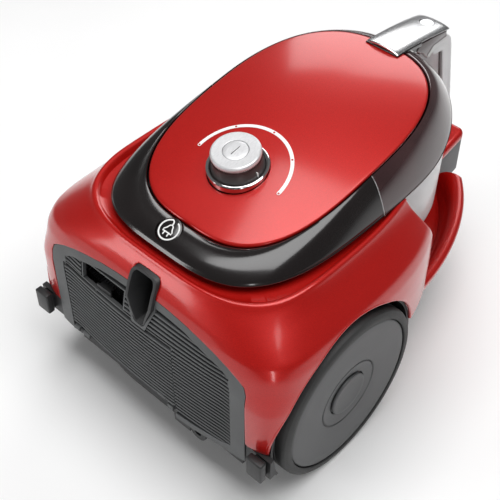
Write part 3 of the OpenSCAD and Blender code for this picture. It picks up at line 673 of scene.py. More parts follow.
def cut_arches(ob):
    """Opens both wheel arches."""
    for side in SIDES.values():
        boolean(ob, drill(ARCH_R, 96, 150, (0, WHEEL_Y, WHEEL_Z), to_x(side), 256))


def rear_shell():
    heights = [z for z in range(79, 94, 3)] + [94 + 1.5 * k for k in range(68)] + [195.9]
    rows = [shell_row(z) for z in heights]
    # rolled top edge, then a channel that dives under the rim
    for inset, h in ((0.9, 196.9), (2.2, 197.2), (3.6, 196.7), (4.8, 195.6)):
        rows.append(shell_row(196, inset, h))
    for inset in (6.4, 12, 18, 26):
        rows.append(shell_row(196, inset, 191.0, True))
    cols = len(rows[0])
    skirt = sum(1 for z in heights if z < 94)

    def keep(j, i):
        return j >= skirt or 58 <= i <= cols - 60

    faces = grid_faces(len(rows), cols, False, False, keep)
    ob = make("rear_shell", [p for row in rows for p in row], faces, 40)
    with editing(ob.data) as bm:
        bmesh.ops.delete(bm, geom=[v for v in bm.verts if not v.link_faces], context="VERTS")
    wall = ob.modifiers.new("wall", "SOLIDIFY")
    wall.thickness = 3.0 * MM
    wall.offset = -1
    bake(ob, 40)
    cut_arches(ob)
    boolean(ob, upright("opening", grille_points(0.6), 176, FAR_Y))
    boolean(ob, upright("bay", slot_points(0.35), 172, FAR_Y))
    bevel(ob, 0.7, 2, 50, 36)
    return finish_piece(ob, "rear_shell_skin", "red", "rear_shell")


def arch_lips():
    """The rolled red edge round each wheel arch."""
    for name, side in SIDES.items():
        path = []
        for k in range(97):
            t = radians(-16 + (180 + 22) * k / 96)
            y = WHEEL_Y - (ARCH_R + 0.4) * cos(t)
            z = WHEEL_Z + (ARCH_R + 0.4) * sin(t)
            if z < 80 or (z < 95 and y < 60):
                continue
            half, rear, n = shell_level(z)
            path.append((side * (shell_x(y, half, rear, n) - 1.3), y, z))
        ob = tube("lip", path, 1.5, 14)
        extra_piece(ob, name + "_arch_lip", "red", "rear_shell")


TRAY_CY = -10
# height, half width, front reach
TRAY = [(39, 99, 163), (60, 108, 172), (84, 117, 181), (90, 117.8, 182.6)]
PORT_AT = Vector((0, -196, 90))
PORT_TILT = 13
PORT_TURN = turn_x(-PORT_TILT)


def tray_ring(half, reach, z, inset=0.0):
    return [(x, y, z) for x, y in outline(TRAY_CY, half - inset, 32, reach - inset, 8, 1.85)]


def nose_plan(grow, lift, rear):
    """Plan of the nose in the port's own frame: a bar with rounded front corners, its face upright."""
    w, r = 35.5 + grow, 7 + grow
    tilt = radians(PORT_TILT)
    front = (-2.8 - lift * sin(tilt)) / cos(tilt) - grow
    corner = [(w - r * (1 - cos(t)), front + r * (1 - sin(t))) for t in quarter_turn(10)]
    pts = [(w, rear), (-w, rear)] + [(-x, y) for x, y in corner] + corner[::-1]
    return [(x, y, lift) for x, y in pts]


def nose(low, high, round_by, grow, rear):
    """The nose between two heights in the port's frame, its top edge rounded over."""
    rings = [nose_plan(grow, low + (high - round_by - low) * k / 4, rear) for k in range(5)]
    if round_by:
        for t in quarter_turn(8, 1):
            ease = round_by * (1 - cos(t))
            rings.append(nose_plan(grow - ease, high - round_by + round_by * sin(t), rear - ease))
    return place(loft("nose", rings), PORT_AT, PORT_TURN)


def hose_port():
    """Grey block of the port under the red cap, with its bore and a stepped mouth."""
    block = nose(-21.5, 15.2, 0.0, -0.35, 34.0)
    # radius and depth of the bore, then of the step in its mouth
    for r, deep in ((16, 50), (19.5, 3.0)):
        bore = drill(r, -12, deep, (0, 0, -2.6), turn_x(-90))
        boolean(block, place(bore, PORT_AT, PORT_TURN))
    bevel(block, 1.2, 3, 50)
    return finish_piece(block, "hose_port_block", "port", "hose_port")


def front_tray():
    rings = []
    for k in range(18):
        z = 39 + (88.5 - 39) * k / 17
        half, reach = smooth(TRAY, z, 4)
        rings.append(tray_ring(half, reach, z))
    half, reach = TRAY[-1][1:]
    # rolled lip, then the long inner slope and the dark floor
    lip = [(0, 0, 89.5), (4, 0.25, 90.8), (8, 1.0, 91.9), (12, 2.2, 92.6), (16, 3.8, 93), (20, 6, 92.8),
           (24, 8.4, 91.9), (28, 11, 90.2), (32, 13.6, 87.2), (36, 15.8, 82.8), (40, 17.8, 76.5),
           (44, 19.6, 69), (48, 21.5, 62.5)]
    for k in range(25):
        inset, z = smooth(lip, 2 * k, 2.5)
        rings.append(tray_ring(half, reach, z, inset))
    rings.append(tray_ring(half, reach, 61.5, 26))
    rings.append(tray_ring(half, reach, 61, 60))
    ob = loft("front_tray", rings)
    boolean(ob, nose(-20.0, 23.5, 5.0, 0.0, 52.0), op="UNION")
    bay = rounded_box((-60, -20, -60), (60, 34.3, 15.6))
    boolean(ob, place(bay, PORT_AT, PORT_TURN))
    boolean(ob, rounded_box((-150, 13.2, 0), (150, 90, 130)))
    boolean(ob, rounded_box((-60, -230, 40), (60, -199, 140)))
    cut_arches(ob)
    bevel(ob, 0.6, 2, 50, 36)
    return finish_piece(ob, "front_tray_skin", "red", "front_tray")


# ---- panel, rims, controls


SKIN = 40  # the angle, in degrees, up to which the skins are shaded smooth
PANEL_THICK = 2.8


def panel_ring(s, down):
    """A ring of the panel: s is 0 in the middle and 1 at its edge."""
    return [(x, y, panel_z(y) + CROWN * (1 - s * s) - down) for x, y in panel_outline(0, s)]


def top_panel():
    steps, centre, flat = 26, 0.03, 0.978
    rings = [panel_ring(centre + (flat - centre) * k / (steps - 1), 0) for k in range(steps)]
    # the rolled edge, then the underside
    for s, down in ((0.986, 0.05), (0.992, 0.22), (0.997, 0.6), (1.0, 1.2), (1.0, 2.2)):
        rings.append(panel_ring(s, down))
    rings += [panel_ring(s, PANEL_THICK) for s in (0.995, 0.8, 0.4, centre)]
    ob = loft("top_panel", rings, angle=SKIN)
    boolean(ob, drill(25.2, -20, 20, KNOB_AT, KNOB_TURN, 192), angle=SKIN)
    return finish_piece(ob, "top_panel_skin", "red", "top_panel")


def rim_hoop(name):
    """The whole rim as one closed hoop, before it is split."""
    rows = [(0, 0, 3), (0, 0, 1.3), (0.012, 0, 0.55), (0.04, 0, 0.1)]
    rows += [(0.04 + 0.92 * k / 16, 0, 0) for k in range(1, 17)]
    rows += [(0.985, 0, 0.25), (1, 0, 0.7), (1, -0.5, 1.3), (1, -0.4, 2.0), (1, 0.6, 2.4), (1, 2.0, 2.2),
             (0.97, 2.4, 1.6)]
    rows += [(0.9 - 0.1 * k, 2.0, 2.6) for k in range(9)]
    return loft(name, [rim_ring(*row) for row in rows], closed=True, angle=SKIN)


def crop(ob, *spans):
    """Cuts away what lies between each pair of y."""
    return boolean(ob, *[rounded_box((-120, y0, 150), (120, y1, 270)) for y0, y1 in spans], angle=SKIN)


REWIND_AT, REWIND_TURN, REWIND_R = (4, 152, 205), turn_x(-24), 10.4


def rear_rim():
    ob = crop(rim_hoop("rear_rim"), (-200, SPLIT_Y + 0.3))
    boolean(ob, drill(REWIND_R + 0.35, -20, 20, REWIND_AT, REWIND_TURN), angle=SKIN)
    return finish_piece(ob, "rear_rim_skin", "gloss", "rear_rim")


def shrunk(ring, across, along, down):
    """A ring drawn in towards the panel's middle, and lowered."""
    return [(x * across, PANEL_CY + (y - PANEL_CY) * along, z - down) for x, y, z in ring]


def bin_lid():
    ob = crop(rim_hoop("bin_lid"), (SPLIT_Y - 0.3, 250))
    finish_piece(ob, "bin_lid_skin", "smoky", "bin_lid")
    # a thin pale sliver at the parting line: a painted highlight where the clear lid's edge catches the light
    edge = crop(rim_hoop("edge"), (SPLIT_Y - 0.15, 250), (-250, SPLIT_Y - 0.6))
    extra_piece(edge, "bin_lid_edge_highlight", "frosted", "bin_lid")
    rings = [shrunk(rim_ring(a, 0, 0), 0.955, 0.965, 6.5) for a in (0.02, 0.25, 0.5, 0.75, 0.97)]
    low = rim_ring(0.97, 0, 4)
    rings += [shrunk(low, 0.93, 0.94, 2.2), shrunk(low, 0.5, 0.5, 1)]
    core = crop(loft("lid_core", rings), (SPLIT_Y - 6, 250))
    extra_piece(core, "bin_lid_core", "gloss", "bin_lid")


def rewind_button():
    r = REWIND_R
    profile = [(0.05, -2.6), (r, -2.6), (r, 0.1), (r - 0.25, 0.45), (r - 0.7, 0.6), (0.05, 0.6)]
    ob = lathe("key", profile, 96, REWIND_AT, REWIND_TURN)
    stem = lathe("stem", [(0.05, -9), (3, -9), (3, -2.4), (0.05, -2.4)], 48, REWIND_AT, REWIND_TURN)
    ob = merge("rewind_button", ob, stem)
    finish_piece(ob, "rewind_key", "gloss", "rewind_button")
    # plug sign: a ring open towards the front, whose end runs into the plug's cable
    top = 0.75
    ring = [(8.3 * cos(t), 8.3 * sin(t), top)
            for t in (radians(-76 + 325 * k / 60) for k in range(61))]
    side = [(1.7, -3.3), (2.6, -1.0), (4.2, 1.0), (4.4, 2.4)]
    bell = [(0, -4.4)] + side + [(-x, y) for x, y in side[::-1]]
    parts = [tube("ring", ring, 0.66, 10)]
    parts.append(tube("bell", [(x, y, top) for x, y in bell], 0.55, 10, closed=True))
    parts.append(tube("cable", [(0, -4.4, top), (0.2, -6.0, top), (0.9, -7.3, top), ring[0]], 0.58, 10))
    for x in (-2.1, 2.1):
        parts.append(tube("prong", [(x, 2.4, top), (x, 5.3, top)], 0.55, 10))
    sign = merge("sign", *parts)
    place(sign, (0, 0, 0.49), Matrix.Diagonal((1, 1, 0.35)))
    place(sign, REWIND_AT, REWIND_TURN)
    shade(sign, 60)
    extra_piece(sign, "rewind_sign", "print", "rewind_button")


KNOB_AT, KNOB_TILT, KNOB_R, KNOB_H, BUTTON_R = (0, 81.5, 225.2), 8, 19.6, 18, 10.0
KNOB_TURN = turn_x(-KNOB_TILT)


def scale_point(r, a, lift):
    x = r * cos(a)
    y = KNOB_AT[1] + r * sin(a) * cos(radians(KNOB_TILT))
    return (x, y, panel_top(x, y) + lift)


def power_scale():
    """White arc with rounded ends and five small dots."""
    r, half, steps = 41.5, 1.45, 120
    section = [(r - half, 0.05), (r + half, 0.05), (r + half, 0.3), (r - half, 0.3)]
    angles = [-pi * k / steps for k in range(steps + 1)]
    parts = [loft("arc", [[scale_point(rr, a, lift) for rr, lift in section] for a in angles])]
    for a in (0, -pi):
        parts.append(lathe("end", [(0.05, 0), (half, 0), (half, 0.25), (0.05, 0.25)], 32,
                           scale_point(r, a, 0.05), KNOB_TURN))
    arc = merge("power_scale", *parts, angle=30)
    finish_piece(arc, "power_scale_arc", "print", "power_scale")
    dots = [lathe("dot", [(0.05, 0.1), (0.85, 0.1), (0.85, 0.42), (0.05, 0.42)], 24,
                  scale_point(r, -pi * k / 4, 0), KNOB_TURN) for k in range(5)]
    dots = merge("power_scale_dots", *dots, angle=30)
    extra_piece(dots, "power_scale_dots", "red", "power_scale")


def knob():
    at, turn = KNOB_AT, KNOB_TURN
    bezel = lathe("bezel", [(21.7, -3.6), (24.6, -3.6), (24.6, 0.6), (24.9, 1.0), (25, 1.5), (24.8, 2.1),
                            (24.2, 2.6), (23.4, 2.8), (22.6, 2.7), (22.0, 2.3), (21.7, 1.8)], 192, at, turn)
    finish_piece(bezel, "knob_bezel_ring", "chrome", "knob_bezel")
    # dark waisted skirt, then the bright cap with its knurled edge
    h = KNOB_H
    skirt = lathe("skirt", [(12, 1.0), (21.3, 1.0), (21.2, 2.0), (20.4, 4.4), (19.5, 7.4), (18.9, 10.4),
                            (18.7, 12.6), (12, 12.6)], 192, at, turn)
    ribs, count = [], 84
    for k in range(count):
        rib = rounded_box((18.3, -0.3, 10.6), (20.0, 0.3, 14.6), 0.12, 1)
        ribs.append(place(rib, turn=Matrix.Rotation(2 * pi * k / count, 3, "Z")))
    ribs = place(merge("ribs", *ribs), at, turn)
    skirt = merge("skirt", skirt, ribs)
    extra_piece(skirt, "power_knob_skirt", "skirt", "power_knob")
    r = KNOB_R
    cap = lathe("cap", [(2.6, 9.8), (11.4, 9.8), (11.4, 12.6), (r - 0.5, 12.6), (r + 0.1, 13.4),
                        (r + 0.35, 15.2), (r + 0.25, 16.6), (r - 0.3, 17.5), (r - 1.2, h),
                        (BUTTON_R + 0.7, h - 0.2), (BUTTON_R + 0.3, h - 0.45), (BUTTON_R + 0.2, 10.6),
                        (2.6, 10.6)], 192, at, turn)
    finish_piece(cap, "power_knob_cap", "brushed_top", "power_knob")
    tick = rounded_box((-21.5, -0.5, 2.4), (-19.2, 0.5, 6.4), 0.3, 2)
    place(tick, at, turn)
    extra_piece(tick, "power_knob_tick", "print", "power_knob")
    button = lathe("button", [(0.05, h - 3), (BUTTON_R, h - 3), (BUTTON_R, h - 0.9),
                              (BUTTON_R - 0.25, h - 0.5), (BUTTON_R - 0.7, h - 0.35), (6, h - 0.25),
                              (0.05, h - 0.2)], 128)
    groove = rounded_box((-0.42, -5.2, h - 0.75), (0.42, 5.2, h + 1), 0.3, 2)
    boolean(button, groove)
    stem = lathe("stem", [(0.05, -11), (2, -11), (2, h - 2.8), (0.05, h - 2.8)], 32)
    button = place(merge("button", button, stem), at, turn)
    finish_piece(button, "power_button_cap", "brushed_top", "power_button")
    line = rounded_box((-0.42, -5.1, h - 0.74), (0.42, 5.1, h - 0.66), 0.02, 1)
    place(line, at, turn)
    extra_piece(line, "power_button_line", "skirt", "power_button")


# ---- bin and handle

CUP_CY = -45
CUP_SLOPE = tan(radians(8))


def cup_outline(inset):
    return outline(CUP_CY, 84 - inset, 52 - inset, 79 - inset, 6, 2.7)


def cup_floor_z(y, lift):
    return 110 - (y + 124) * CUP_SLOPE + lift


def bin_cup():
    def low(inset, lift):
        return [(x, y, cup_floor_z(y, lift)) for x, y in cup_outline(inset)]

    def wall(t, inset):
        base, top = cup_outline(1.4 * (1 - t) + inset), cup_outline(inset)
        return [(p[0], p[1], cup_floor_z(p[1], 16) * (1 - t) + (rim_low(q[1]) - 2.5) * t)
                for p, q in zip(base, top)]

    rings = [low(13, 0)]
    for t in quarter_turn(8, 1):
        rings.append(low(13 - 11.6 * sin(t), 16 * (1 - cos(t))))
    rings += [wall(k / 14, 0) for k in range(1, 15)]
    rings += [wall(1 - k / 8, 2.4) for k in range(8)]
    for t in quarter_turn(8, 1)[-2::-1]:
        rings.append(low(15.4 - 11.6 * sin(t), 2.4 + 15 * (1 - cos(t))))
    rings.append(low(16, 2.4))
    ob = loft("bin_cup", rings, angle=SKIN)
    return finish_piece(ob, "bin_cup_skin", "frosted", "bin_cup")


HANDLE_REAR, HANDLE_W = -94, 16.5
RELEASE_Y, RELEASE_Z = -158, 236.7


def handle_edge(y):
    run = HANDLE_REAR - y
    return 243.8 - 0.06 * run - 0.0011 * run * run


def cover_section(y, trim, crown=2.5):
    """Arched strip, 1.3 mm thick: up over the top, back under it."""
    w, z = HANDLE_W - trim, handle_edge(y)
    top = []
    for k in range(25):
        u = k / 12 - 1
        top.append((w * copysign(abs(u) ** 0.92, u), y, z - 0.1 + crown * (1 - abs(u) ** 2.6)))
    under = [((w - 0.7) / w * x, yy, zz - 1.3) for x, yy, zz in top[::-1]]
    return top + under


def handle():
    rear = HANDLE_REAR
    ys = [rear, rear - 0.4, rear - 1.2] + [-96 - 2 * k for k in range(36)]
    rings = []
    for y in ys:
        trim = 0.7 * max(0, 1 - (rear - y) / 3) ** 2 + (0.0 if y > -150 else 0.25 * ((-150 - y) / 16) ** 2)
        ease = 0.5 * max(0, 1 - (rear - y) / 1.2) ** 2
        rings.append([(x, yy, z - ease) for x, yy, z in cover_section(y, trim)])
    for t in quarter_turn(7, 1):
        y = -166 - 8 * sin(t)
        drop_by = 1 - cos(t)
        section = cover_section(y, 0.25 + 5 * drop_by ** 1.5, 2.5 - 1.2 * drop_by)
        rings.append([(x, yy, z - 1.8 * drop_by) for x, yy, z in section])
    cover = loft("cover", rings, angle=SKIN)
    boolean(cover, drill(6.85, -20, 20, (0, RELEASE_Y, RELEASE_Z)), angle=SKIN)
    finish_piece(cover, "handle_cover_skin", "brushed", "handle_cover")

    h = RELEASE_Z
    button = lathe("release", [(0.05, h - 2), (4.4, h - 2), (4.4, h - 7), (6.5, h - 7), (6.5, h - 0.1),
                               (6.2, h + 0.3), (5.6, h + 0.5), (0.05, h + 0.2)], 96, (0, RELEASE_Y, 0))
    finish_piece(button, "release_button_cap", "brushed", "release_button")

    # black trim between the cover and the panel, running on as the handle's spine
    low = [(-93.4, 242.5), (-104, 241.7), (-112, 239.4), (-117, 236.2), (-122, 231.8), (-130, 228.5),
           (-168, 226.5)]
    high = [(y, handle_edge(y) - 1.2) for y in (-170, -150, -130, -120, -110, -102)] + [(-93.4, 243.0)]
    beam = prism("beam", low + high, -14.6, 14.6)
    boolean(beam, drill(7.1, -14, 30, (0, RELEASE_Y, 240), steps=64))
    finish_piece(beam, "handle_beam_trim", "gloss", "handle_beam")
    sill = prism("sill", [(-93.2, 242.3), (-96.6, 242.2), (-96.6, 243.3), (-93.2, 243.3)], -16.7, 16.7, 0.35)
    low = [(-93.2, 242.3), (-104, 241.6), (-112, 239.6), (-120, 237.4), (-128, 236.0)]
    high = [(y, handle_edge(y) - 0.9) for y in (-128, -120, -112, -104)] + [(-93.2, 243.1)]
    sill = merge("sill", sill, *both_sides("cheek", low + high, 14.6, 16.8, 0.3))
    extra_piece(sill, "handle_sill", "gloss", "handle_beam")
    wedge = prism("wedge", [(-124, 231), (-134, 224.5), (-143, 214.5), (-170, 224.6), (-168, 231.6),
                            (-150, 234.6), (-128, 237.4)], -15.4, 15.4, 1.2)
    extra_piece(wedge, "handle_wedge", "smoky", "handle_beam")

    outer = [(-172, 225.5), (-176, 221), (-178.5, 213), (-196.3, 124), (-197, 118)]
    inner = [(-192, 118.5), (-190.5, 124), (-170, 214), (-166, 219.5), (-150, 219.5), (-144, 216),
             (-141, 218), (-150, 225)]
    leg = prism("leg", outer + inner, -HANDLE_W, HANDLE_W, 1.4)
    foot = rounded_box((-HANDLE_W, -197, 116.6), (HANDLE_W, -125, 119.6), 1.0)
    flange = [(-174, 221), (-195.5, 121), (-183.5, 121), (-164.5, 213), (-150, 215.5), (-148, 220)]
    leg = merge("leg", leg, foot, *both_sides("flange", flange, 14.0, HANDLE_W, 0.8))
    finish_piece(leg, "handle_leg_skin", "frosted", "handle_leg")
    strip = [(-183.4, 122), (-165, 212), (-162.5, 212), (-180.6, 122)]
    strips = merge("strips", *both_sides("strip", strip, 13.0, 15.2, 0.5))
    extra_piece(strips, "handle_leg_trim", "smoky", "handle_leg")


# ---- exhaust side

BEND, SLAB_Y = 760, 195  # radius of the grille's bend, and its rearmost y
LOUVRES, LOUVRE_Z0, LOUVRE_Z1 = 24, 58, 160
# x and z from and to
DOOR = (-35, 94, 61.5, 136)
WINDOW = (19, 68, 136.5, 156)
FAR_Y = 215  # cutters end here, behind the machine
SCREEN, SCREEN_BACK = 0.8, -4.0  # thickness of the dark screens, and how far in they lie


def slab_y(x):
    return SLAB_Y - BEND + sqrt(BEND ** 2 - x * x)


def smoothstep(t):
    t = min(1.0, max(0.0, t))
    return t * t * (3 - 2 * t)


def shell_rear(x, z):
    half, rear, n = shell_level(z)
    x = min(abs(x), half - 1)
    return SHELL_CY + rear * (1 - (x / half) ** n) ** (1 / n)


def follow_shell(ob):
    """Leans the top and the sides of the grille to the shell, so that its arch ends flush."""
    for v in ob.data.vertices:
        x, z = v.co.x / MM, v.co.z / MM
        t = smoothstep((abs(x) - 78) / 28)
        v.co.y += t * max(0.0, shell_rear(x, 120) - 0.5 - slab_y(x)) * MM
        if z > 130:
            t = min(1.0, (z - 130) / 30)
            proud = max(0.0, slab_y(x) - shell_rear(x, 130) + 0.3)
            v.co.y -= (shell_rear(x, 130) - shell_rear(x, z) + t * proud) * MM
    shade(ob)
    return ob


def arch_half(z, inset):
    """Half width of the grille's arch at a height."""
    pts = [p for p in grille_points(-inset) if p[0] >= 0]
    best = 0.0
    for (x0, z0), (x1, z1) in zip(pts, pts[1:]):
        if min(z0, z1) <= z <= max(z0, z1) and z0 != z1:
            best = max(best, x0 + (x1 - x0) * (z - z0) / (z1 - z0))
    return best


def bent_bar(x0, x1, z0, z1, deep, front):
    """A bar along X that follows the grille's bend, with its front edges eased."""
    n = max(2, int((x1 - x0) / 5) + 2)
    e = min(0.45, (z1 - z0) / 3)
    section = [(-deep, z0), (-e, z0), (0, z0 + e), (0, z1 - e), (-e, z1), (-deep, z1)]
    rings = []
    for k in range(n):
        x = x0 + (x1 - x0) * k / (n - 1)
        y = slab_y(x) + front
        rings.append([(x, y + d, z) for d, z in section])
    return loft("bar", rings)


def minus(spans, low, high):
    """What is left of the spans outside low to high, without scraps."""
    out = []
    for a, b in spans:
        if high <= a or low >= b:
            out.append((a, b))
            continue
        if low > a:
            out.append((a, low))
        if high < b:
            out.append((high, b))
    return [s for s in out if s[1] - s[0] > 1.5]


def bend(ob, deep, front=0.0):
    """Cuts a flat plate into strips along X, and above the door along Z, then bends it to the grille."""
    cuts = [((k * 5.3 * MM, 0, 0), (1, 0, 0)) for k in range(-21, 22)]
    cuts += [((0, 0, z * MM), (0, 0, 1)) for z in range(130, 170, 3)]
    with editing(ob.data) as bm:
        for at, normal in cuts:
            geom = bm.verts[:] + bm.edges[:] + bm.faces[:]
            bmesh.ops.bisect_plane(bm, geom=geom, plane_co=at, plane_no=normal)
        for v in bm.verts:
            v.co.y += (slab_y(v.co.x / MM) - deep + front) * MM
    shade(ob)
    return ob


def frame_of(outer, inner, name):
    """A flat frame: outer outline less inner outline, then bent."""
    ob = upright(name, outer, 0, 3.0)
    boolean(ob, upright("in", inner, -5, 8))
    return bend(ob, 3.0)


def slot_wings():
    """Grey cheeks of the grille on both sides of the parking slot's narrow foot."""
    plate = [(-15.5, 164), (-15.5, 158), (-7, 134.6), (7, 134.6), (15.5, 158), (15.5, 164)]
    wings = upright("wings", plate, 0, 3.2)
    boolean(wings, upright("slot", slot_points(0.3), -5, 8))
    return bend(wings, 3.2, 0.15)


def box_points(x0, x1, z0, z1, inset=0.0):
    x0, x1, z0, z1 = x0 + inset, x1 - inset, z0 + inset, z1 - inset
    return [(x0, z0), (x1, z0), (x1, z1), (x0, z1)]


def louvre(x0, x1, low, high):
    return bent_bar(x0, x1, low, high, 2.8, -0.25)


def mullion(x, low, high):
    return bent_bar(x, x + 1.4, low, high, 1.6, -1.4)


def screen(ob, *cutters):
    """A thin dark sheet behind the louvres."""
    boolean(ob, *cutters)
    return follow_shell(bend(ob, SCREEN, SCREEN_BACK))


def grille():
    x0, x1, z0, z1 = DOOR
    pitch = (LOUVRE_Z1 - LOUVRE_Z0) / LOUVRES
    fixed, moving = [], []
    for i in range(LOUVRES):
        low = LOUVRE_Z0 + i * pitch
        high = low + pitch * 0.42
        reach = arch_half((low + high) / 2, 7.5)
        spans = [(-reach, reach)]
        if low < z1 + 0.6:
            spans = minus(spans, x0 - 0.6, x1 + 0.6)
        if high > WINDOW[2] - 1 and low < WINDOW[3] + 1:
            spans = minus(spans, WINDOW[0] - 2, WINDOW[1] + 2)
        if high > 137:
            reach = 15.2 if low > 158 else 6.8 + 8.4 * (low - 137) / 21
            spans = minus(spans, -reach, reach)
        for a, b in spans:
            fixed.append(louvre(a, b, low, high))
        if z0 < low and high < z1:
            moving.append(louvre(x0 + 0.3, x1 - 0.3, low, high))
    outer = grille_points(0)
    inner = [(x * 0.915 if abs(x) > 60 else x, z) for x, z in grille_points(-6.5)]
    border = frame_of(outer, inner, "border")
    doorway = box_points(x0 - 0.5, x1 + 0.5, 40, z1 + 0.5)
    boolean(border, upright("gap", doorway, 160, FAR_Y), upright("slot", slot_points(0.3), 160, FAR_Y))
    fixed.append(border)
    window = frame_of(box_points(WINDOW[0] - 1.4, WINDOW[1] + 1.4, WINDOW[2] + 1.0, WINDOW[3] + 1.2),
                      box_points(WINDOW[0], WINDOW[1], WINDOW[2] - 5, WINDOW[3]), "window")
    fixed.append(place(window, (0, -0.9, 0)))
    fixed.append(slot_wings())
    for x in (-88, -62):
        fixed.append(mullion(x, 56, arch_top(x) - 5))
    for x in (-31, 85):
        fixed.append(hinge_knuckle(x, x + 6, 52))
    ob = follow_shell(merge("grille", *fixed))
    finish_piece(ob, "exhaust_grille_skin", "grille", "exhaust_grille")
    cutters = [upright("gap", points, -5, 5) for points in (slot_points(0.3), box_points(*WINDOW), doorway)]
    back = screen(upright("back", grille_points(-1.5), 0, SCREEN), *cutters)
    extra_piece(back, "exhaust_grille_screen", "black", "exhaust_grille")

    leaf = frame_of(box_points(*DOOR), box_points(*DOOR, 1.2), "leaf")
    moving.append(place(leaf, (0, -1.3, 0)))
    for x in (9, 52):
        moving.append(mullion(x, z0 + 1, z1 - 1))
    for x in (-22, 72):
        moving.append(hinge_knuckle(x, x + 8, None))
    door = follow_shell(merge("door", *moving))
    finish_piece(door, "filter_door_skin", "grille", "filter_door")
    pane = screen(upright("pane", box_points(*DOOR, 0.4), 0, SCREEN))
    extra_piece(pane, "filter_door_screen", "black", "filter_door")


def arch_top(x):
    """Height of the grille's arch at x."""
    return lerp(sorted(p for p in grille_points() if p[1] > 100 and p[0] >= 0), abs(x))[0]


def hinge_knuckle(x0, x1, foot_z):
    """One knuckle of the door's hinge: foot_z is the foot of a fixed one, None makes the door's."""
    knuckle = lathe("knuckle", [(1.55, x0), (2.6, x0), (2.6, x1), (1.55, x1)], 32,
                    (0, 190, 58.6), to_x(1))
    if foot_z:
        arm = rounded_box((x0, 187.5, foot_z), (x1, max(190, slab_y(x1) - 1), 57.2), 0.4, 2)
    else:
        arm = rounded_box((x0, 187.8, 60.4), (x1, slab_y(x0 if x0 < 0 else x1) - 0.6, 64.5), 0.4, 2)
    return merge("hinge", knuckle, arm)


def parking_slot():
    ob = upright("slot", slot_points(), 166, 193.5)
    pocket = [(x * 0.8, 137 + (z - 137) * 0.945 + 1.2) for x, z in slot_points()]
    boolean(ob, upright("pocket", pocket, 168.5, FAR_Y))
    lean = prism("trim", [(178, 200), (180.5, 186), (184.5, 181), (188.5, 172), (192.6, 160), (193.4, 150),
                          (193.4, 130), (FAR_Y, 130), (FAR_Y, 200)], -40, 40)
    boolean(ob, lean)
    bevel(ob, 0.6, 2, 50)
    return finish_piece(ob, "parking_slot_skin", "black", "parking_slot")


def bumpers():
    for name, side in SIDES.items():
        node = name + "_bumper"
        x0, x1 = sorted((side * 117, side * 132.4))
        pad = rounded_box((x0, 192.4, 59), (x1, 199, 81), 1.3, 3)
        x0, x1 = sorted((side * 119, side * 130))
        ob = merge(node, pad, rounded_box((x0, 189.7, 60), (x1, 193, 77), 0.5, 2))
        finish_piece(ob, node + "_block", "bumper", node)


# ---- wheels


WHEEL_W, HALF_WIDTH = 30, 137.5


def wheels():
    for name, side in SIDES.items():
        at = (side * (HALF_WIDTH - WHEEL_W), WHEEL_Y, WHEEL_Z)
        turn = to_x(side)
        tyre = lathe("tyre", [
            (69.9, 0.4), (70.3, 0), (74.6, 0), (76.6, 0.7), (77.6, 2.2), (78, 4.4), (78, 9.6), (77.5, 10),
            (77.5, 10.8), (78, 11.2), (78, 18.4), (77.5, 18.8), (77.5, 19.6), (78, 20), (78, 24.4),
            (77.7, 26.4), (76.8, 28.2), (75.2, 29.3), (73.4, 29.8), (71.6, 30), (70.5, 29.8), (69.9, 29.2)
        ], 256, at, turn)
        finish_piece(tyre, name + "_tyre_ring", "tyre", name + "_tyre")
        disc = lathe("disc", [
            (5.08, 1), (13, 1), (13, 23), (66, 25.4), (66.3, 2), (69.2, 2), (69.3, 27.2), (69.0, 28.2),
            (68.2, 28.9), (67.2, 29.15), (60, 29.0), (45, 28.55), (33, 28.0), (32.2, 27.85), (31.8, 27.2),
            (31.3, 26.6), (30.8, 26.8), (30.5, 27.4), (29.9, 27.75), (28, 27.5), (24, 26.8), (20.6, 26.3),
            (19.9, 25.6), (19.4, 24.6), (5.08, 24.6)
        ], 256, at, turn)
        finish_piece(disc, name + "_wheel_face", "wheel", name + "_wheel_disc")
        cap = lathe("cap", [
            (0.05, 26.5), (19.2, 26.5), (19.3, 27.5), (19.0, 28.2), (18.3, 28.6), (17.3, 28.7), (15.5, 28.35),
            (12, 27.9), (7, 27.65), (3, 27.6), (0.05, 27.6)
        ], 128, at, turn)
        finish_piece(cap, name + "_hub_face", "wheel", name + "_hub_cap")


# ---- stage


def floor():
    n = Nodes("studio_floor")
    n.ramp(n.noise(3), (0.91, 0.91, 0.91), (0.94, 0.94, 0.94))
    n.rough(n.noise(40), 0.75, 0.85)
    n.shader.inputs["Specular IOR Level"].default_value = 0.1
    r, z = 4000, -0.4
    ob = make("floor", [(-r, -r, z), (r, -r, z), (r, r, z), (-r, r, z)], [(0, 1, 2, 3)])
    ob.data.materials.append(n.mat)


LAMP_AIM = Vector((0, 0.03, 0.12))


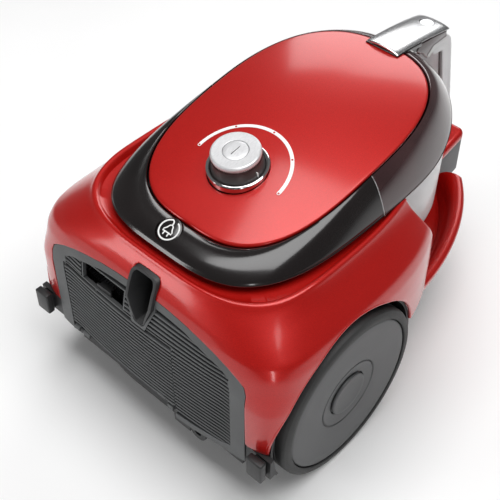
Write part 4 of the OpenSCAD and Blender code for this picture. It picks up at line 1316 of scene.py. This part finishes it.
def lamp(name, at, size, power):
    """A soft lamp turned to the machine's middle."""
    data = bpy.data.lights.new(name, "AREA")
    data.shape = "RECTANGLE"
    data.size, data.size_y = size
    data.energy = power
    ob = add_object(name, data)
    ob.location = at
    ob.rotation_euler = (LAMP_AIM - Vector(at)).to_track_quat("-Z", "Y").to_euler()
    ob.visible_camera = False


def lights():
    world = bpy.data.worlds.new("studio")
    world.use_nodes = True
    tree = world.node_tree
    # the backdrop shows pale to the camera while the fill stays low
    back, pale = tree.nodes["Background"], tree.nodes.new("ShaderNodeBackground")
    back.inputs["Color"].default_value = (1, 1, 1, 1)
    back.inputs["Strength"].default_value = 0.13
    pale.inputs["Strength"].default_value = 0.95
    path = tree.nodes.new("ShaderNodeLightPath")
    mix = tree.nodes.new("ShaderNodeMixShader")
    tree.links.new(path.outputs["Is Camera Ray"], mix.inputs[0])
    tree.links.new(back.outputs[0], mix.inputs[1])
    tree.links.new(pale.outputs[0], mix.inputs[2])
    tree.links.new(mix.outputs[0], tree.nodes["World Output"].inputs["Surface"])
    SCENE.world = world
    SCENE.view_settings.view_transform = "Standard"
    lamp("top", (-0.2, 0.0, 1.9), (1.2, 2.1), 37)
    lamp("front", (0.75, -1.3, 1.02), (1.0, 0.6), 7)
    lamp("camera_side", (-1.55, 1.45, 0.5), (0.25, 0.8), 5)
    lamp("rear", (0.9, 1.5, 0.7), (0.5, 0.7), 6)


def camera():
    data = bpy.data.cameras.new("camera")
    data.sensor_width = 36
    data.lens = 74.68
    data.clip_start, data.clip_end = 0.05, 30
    forward = Vector((0.47470, -0.51012, -0.71724)).normalized()
    right = Vector((-0.7321, -0.6813, 0)).normalized()
    up = right.cross(forward).normalized()
    SCENE.camera = add_object("camera", data)
    SCENE.camera.matrix_world = Matrix((
        (right.x, up.x, -forward.x, -0.41320), (right.y, up.y, -forward.y, 0.51215),
        (right.z, up.z, -forward.z, 0.74771), (0, 0, 0, 1)))


camera()
lights()
floor()
dress_nodes()
rear_shell()
arch_lips()
front_tray()
top_panel()
rear_rim()
bin_lid()
rewind_button()
power_scale()
knob()
hose_port()
bin_cup()
handle()
grille()
parking_slot()
bumpers()
wheels()
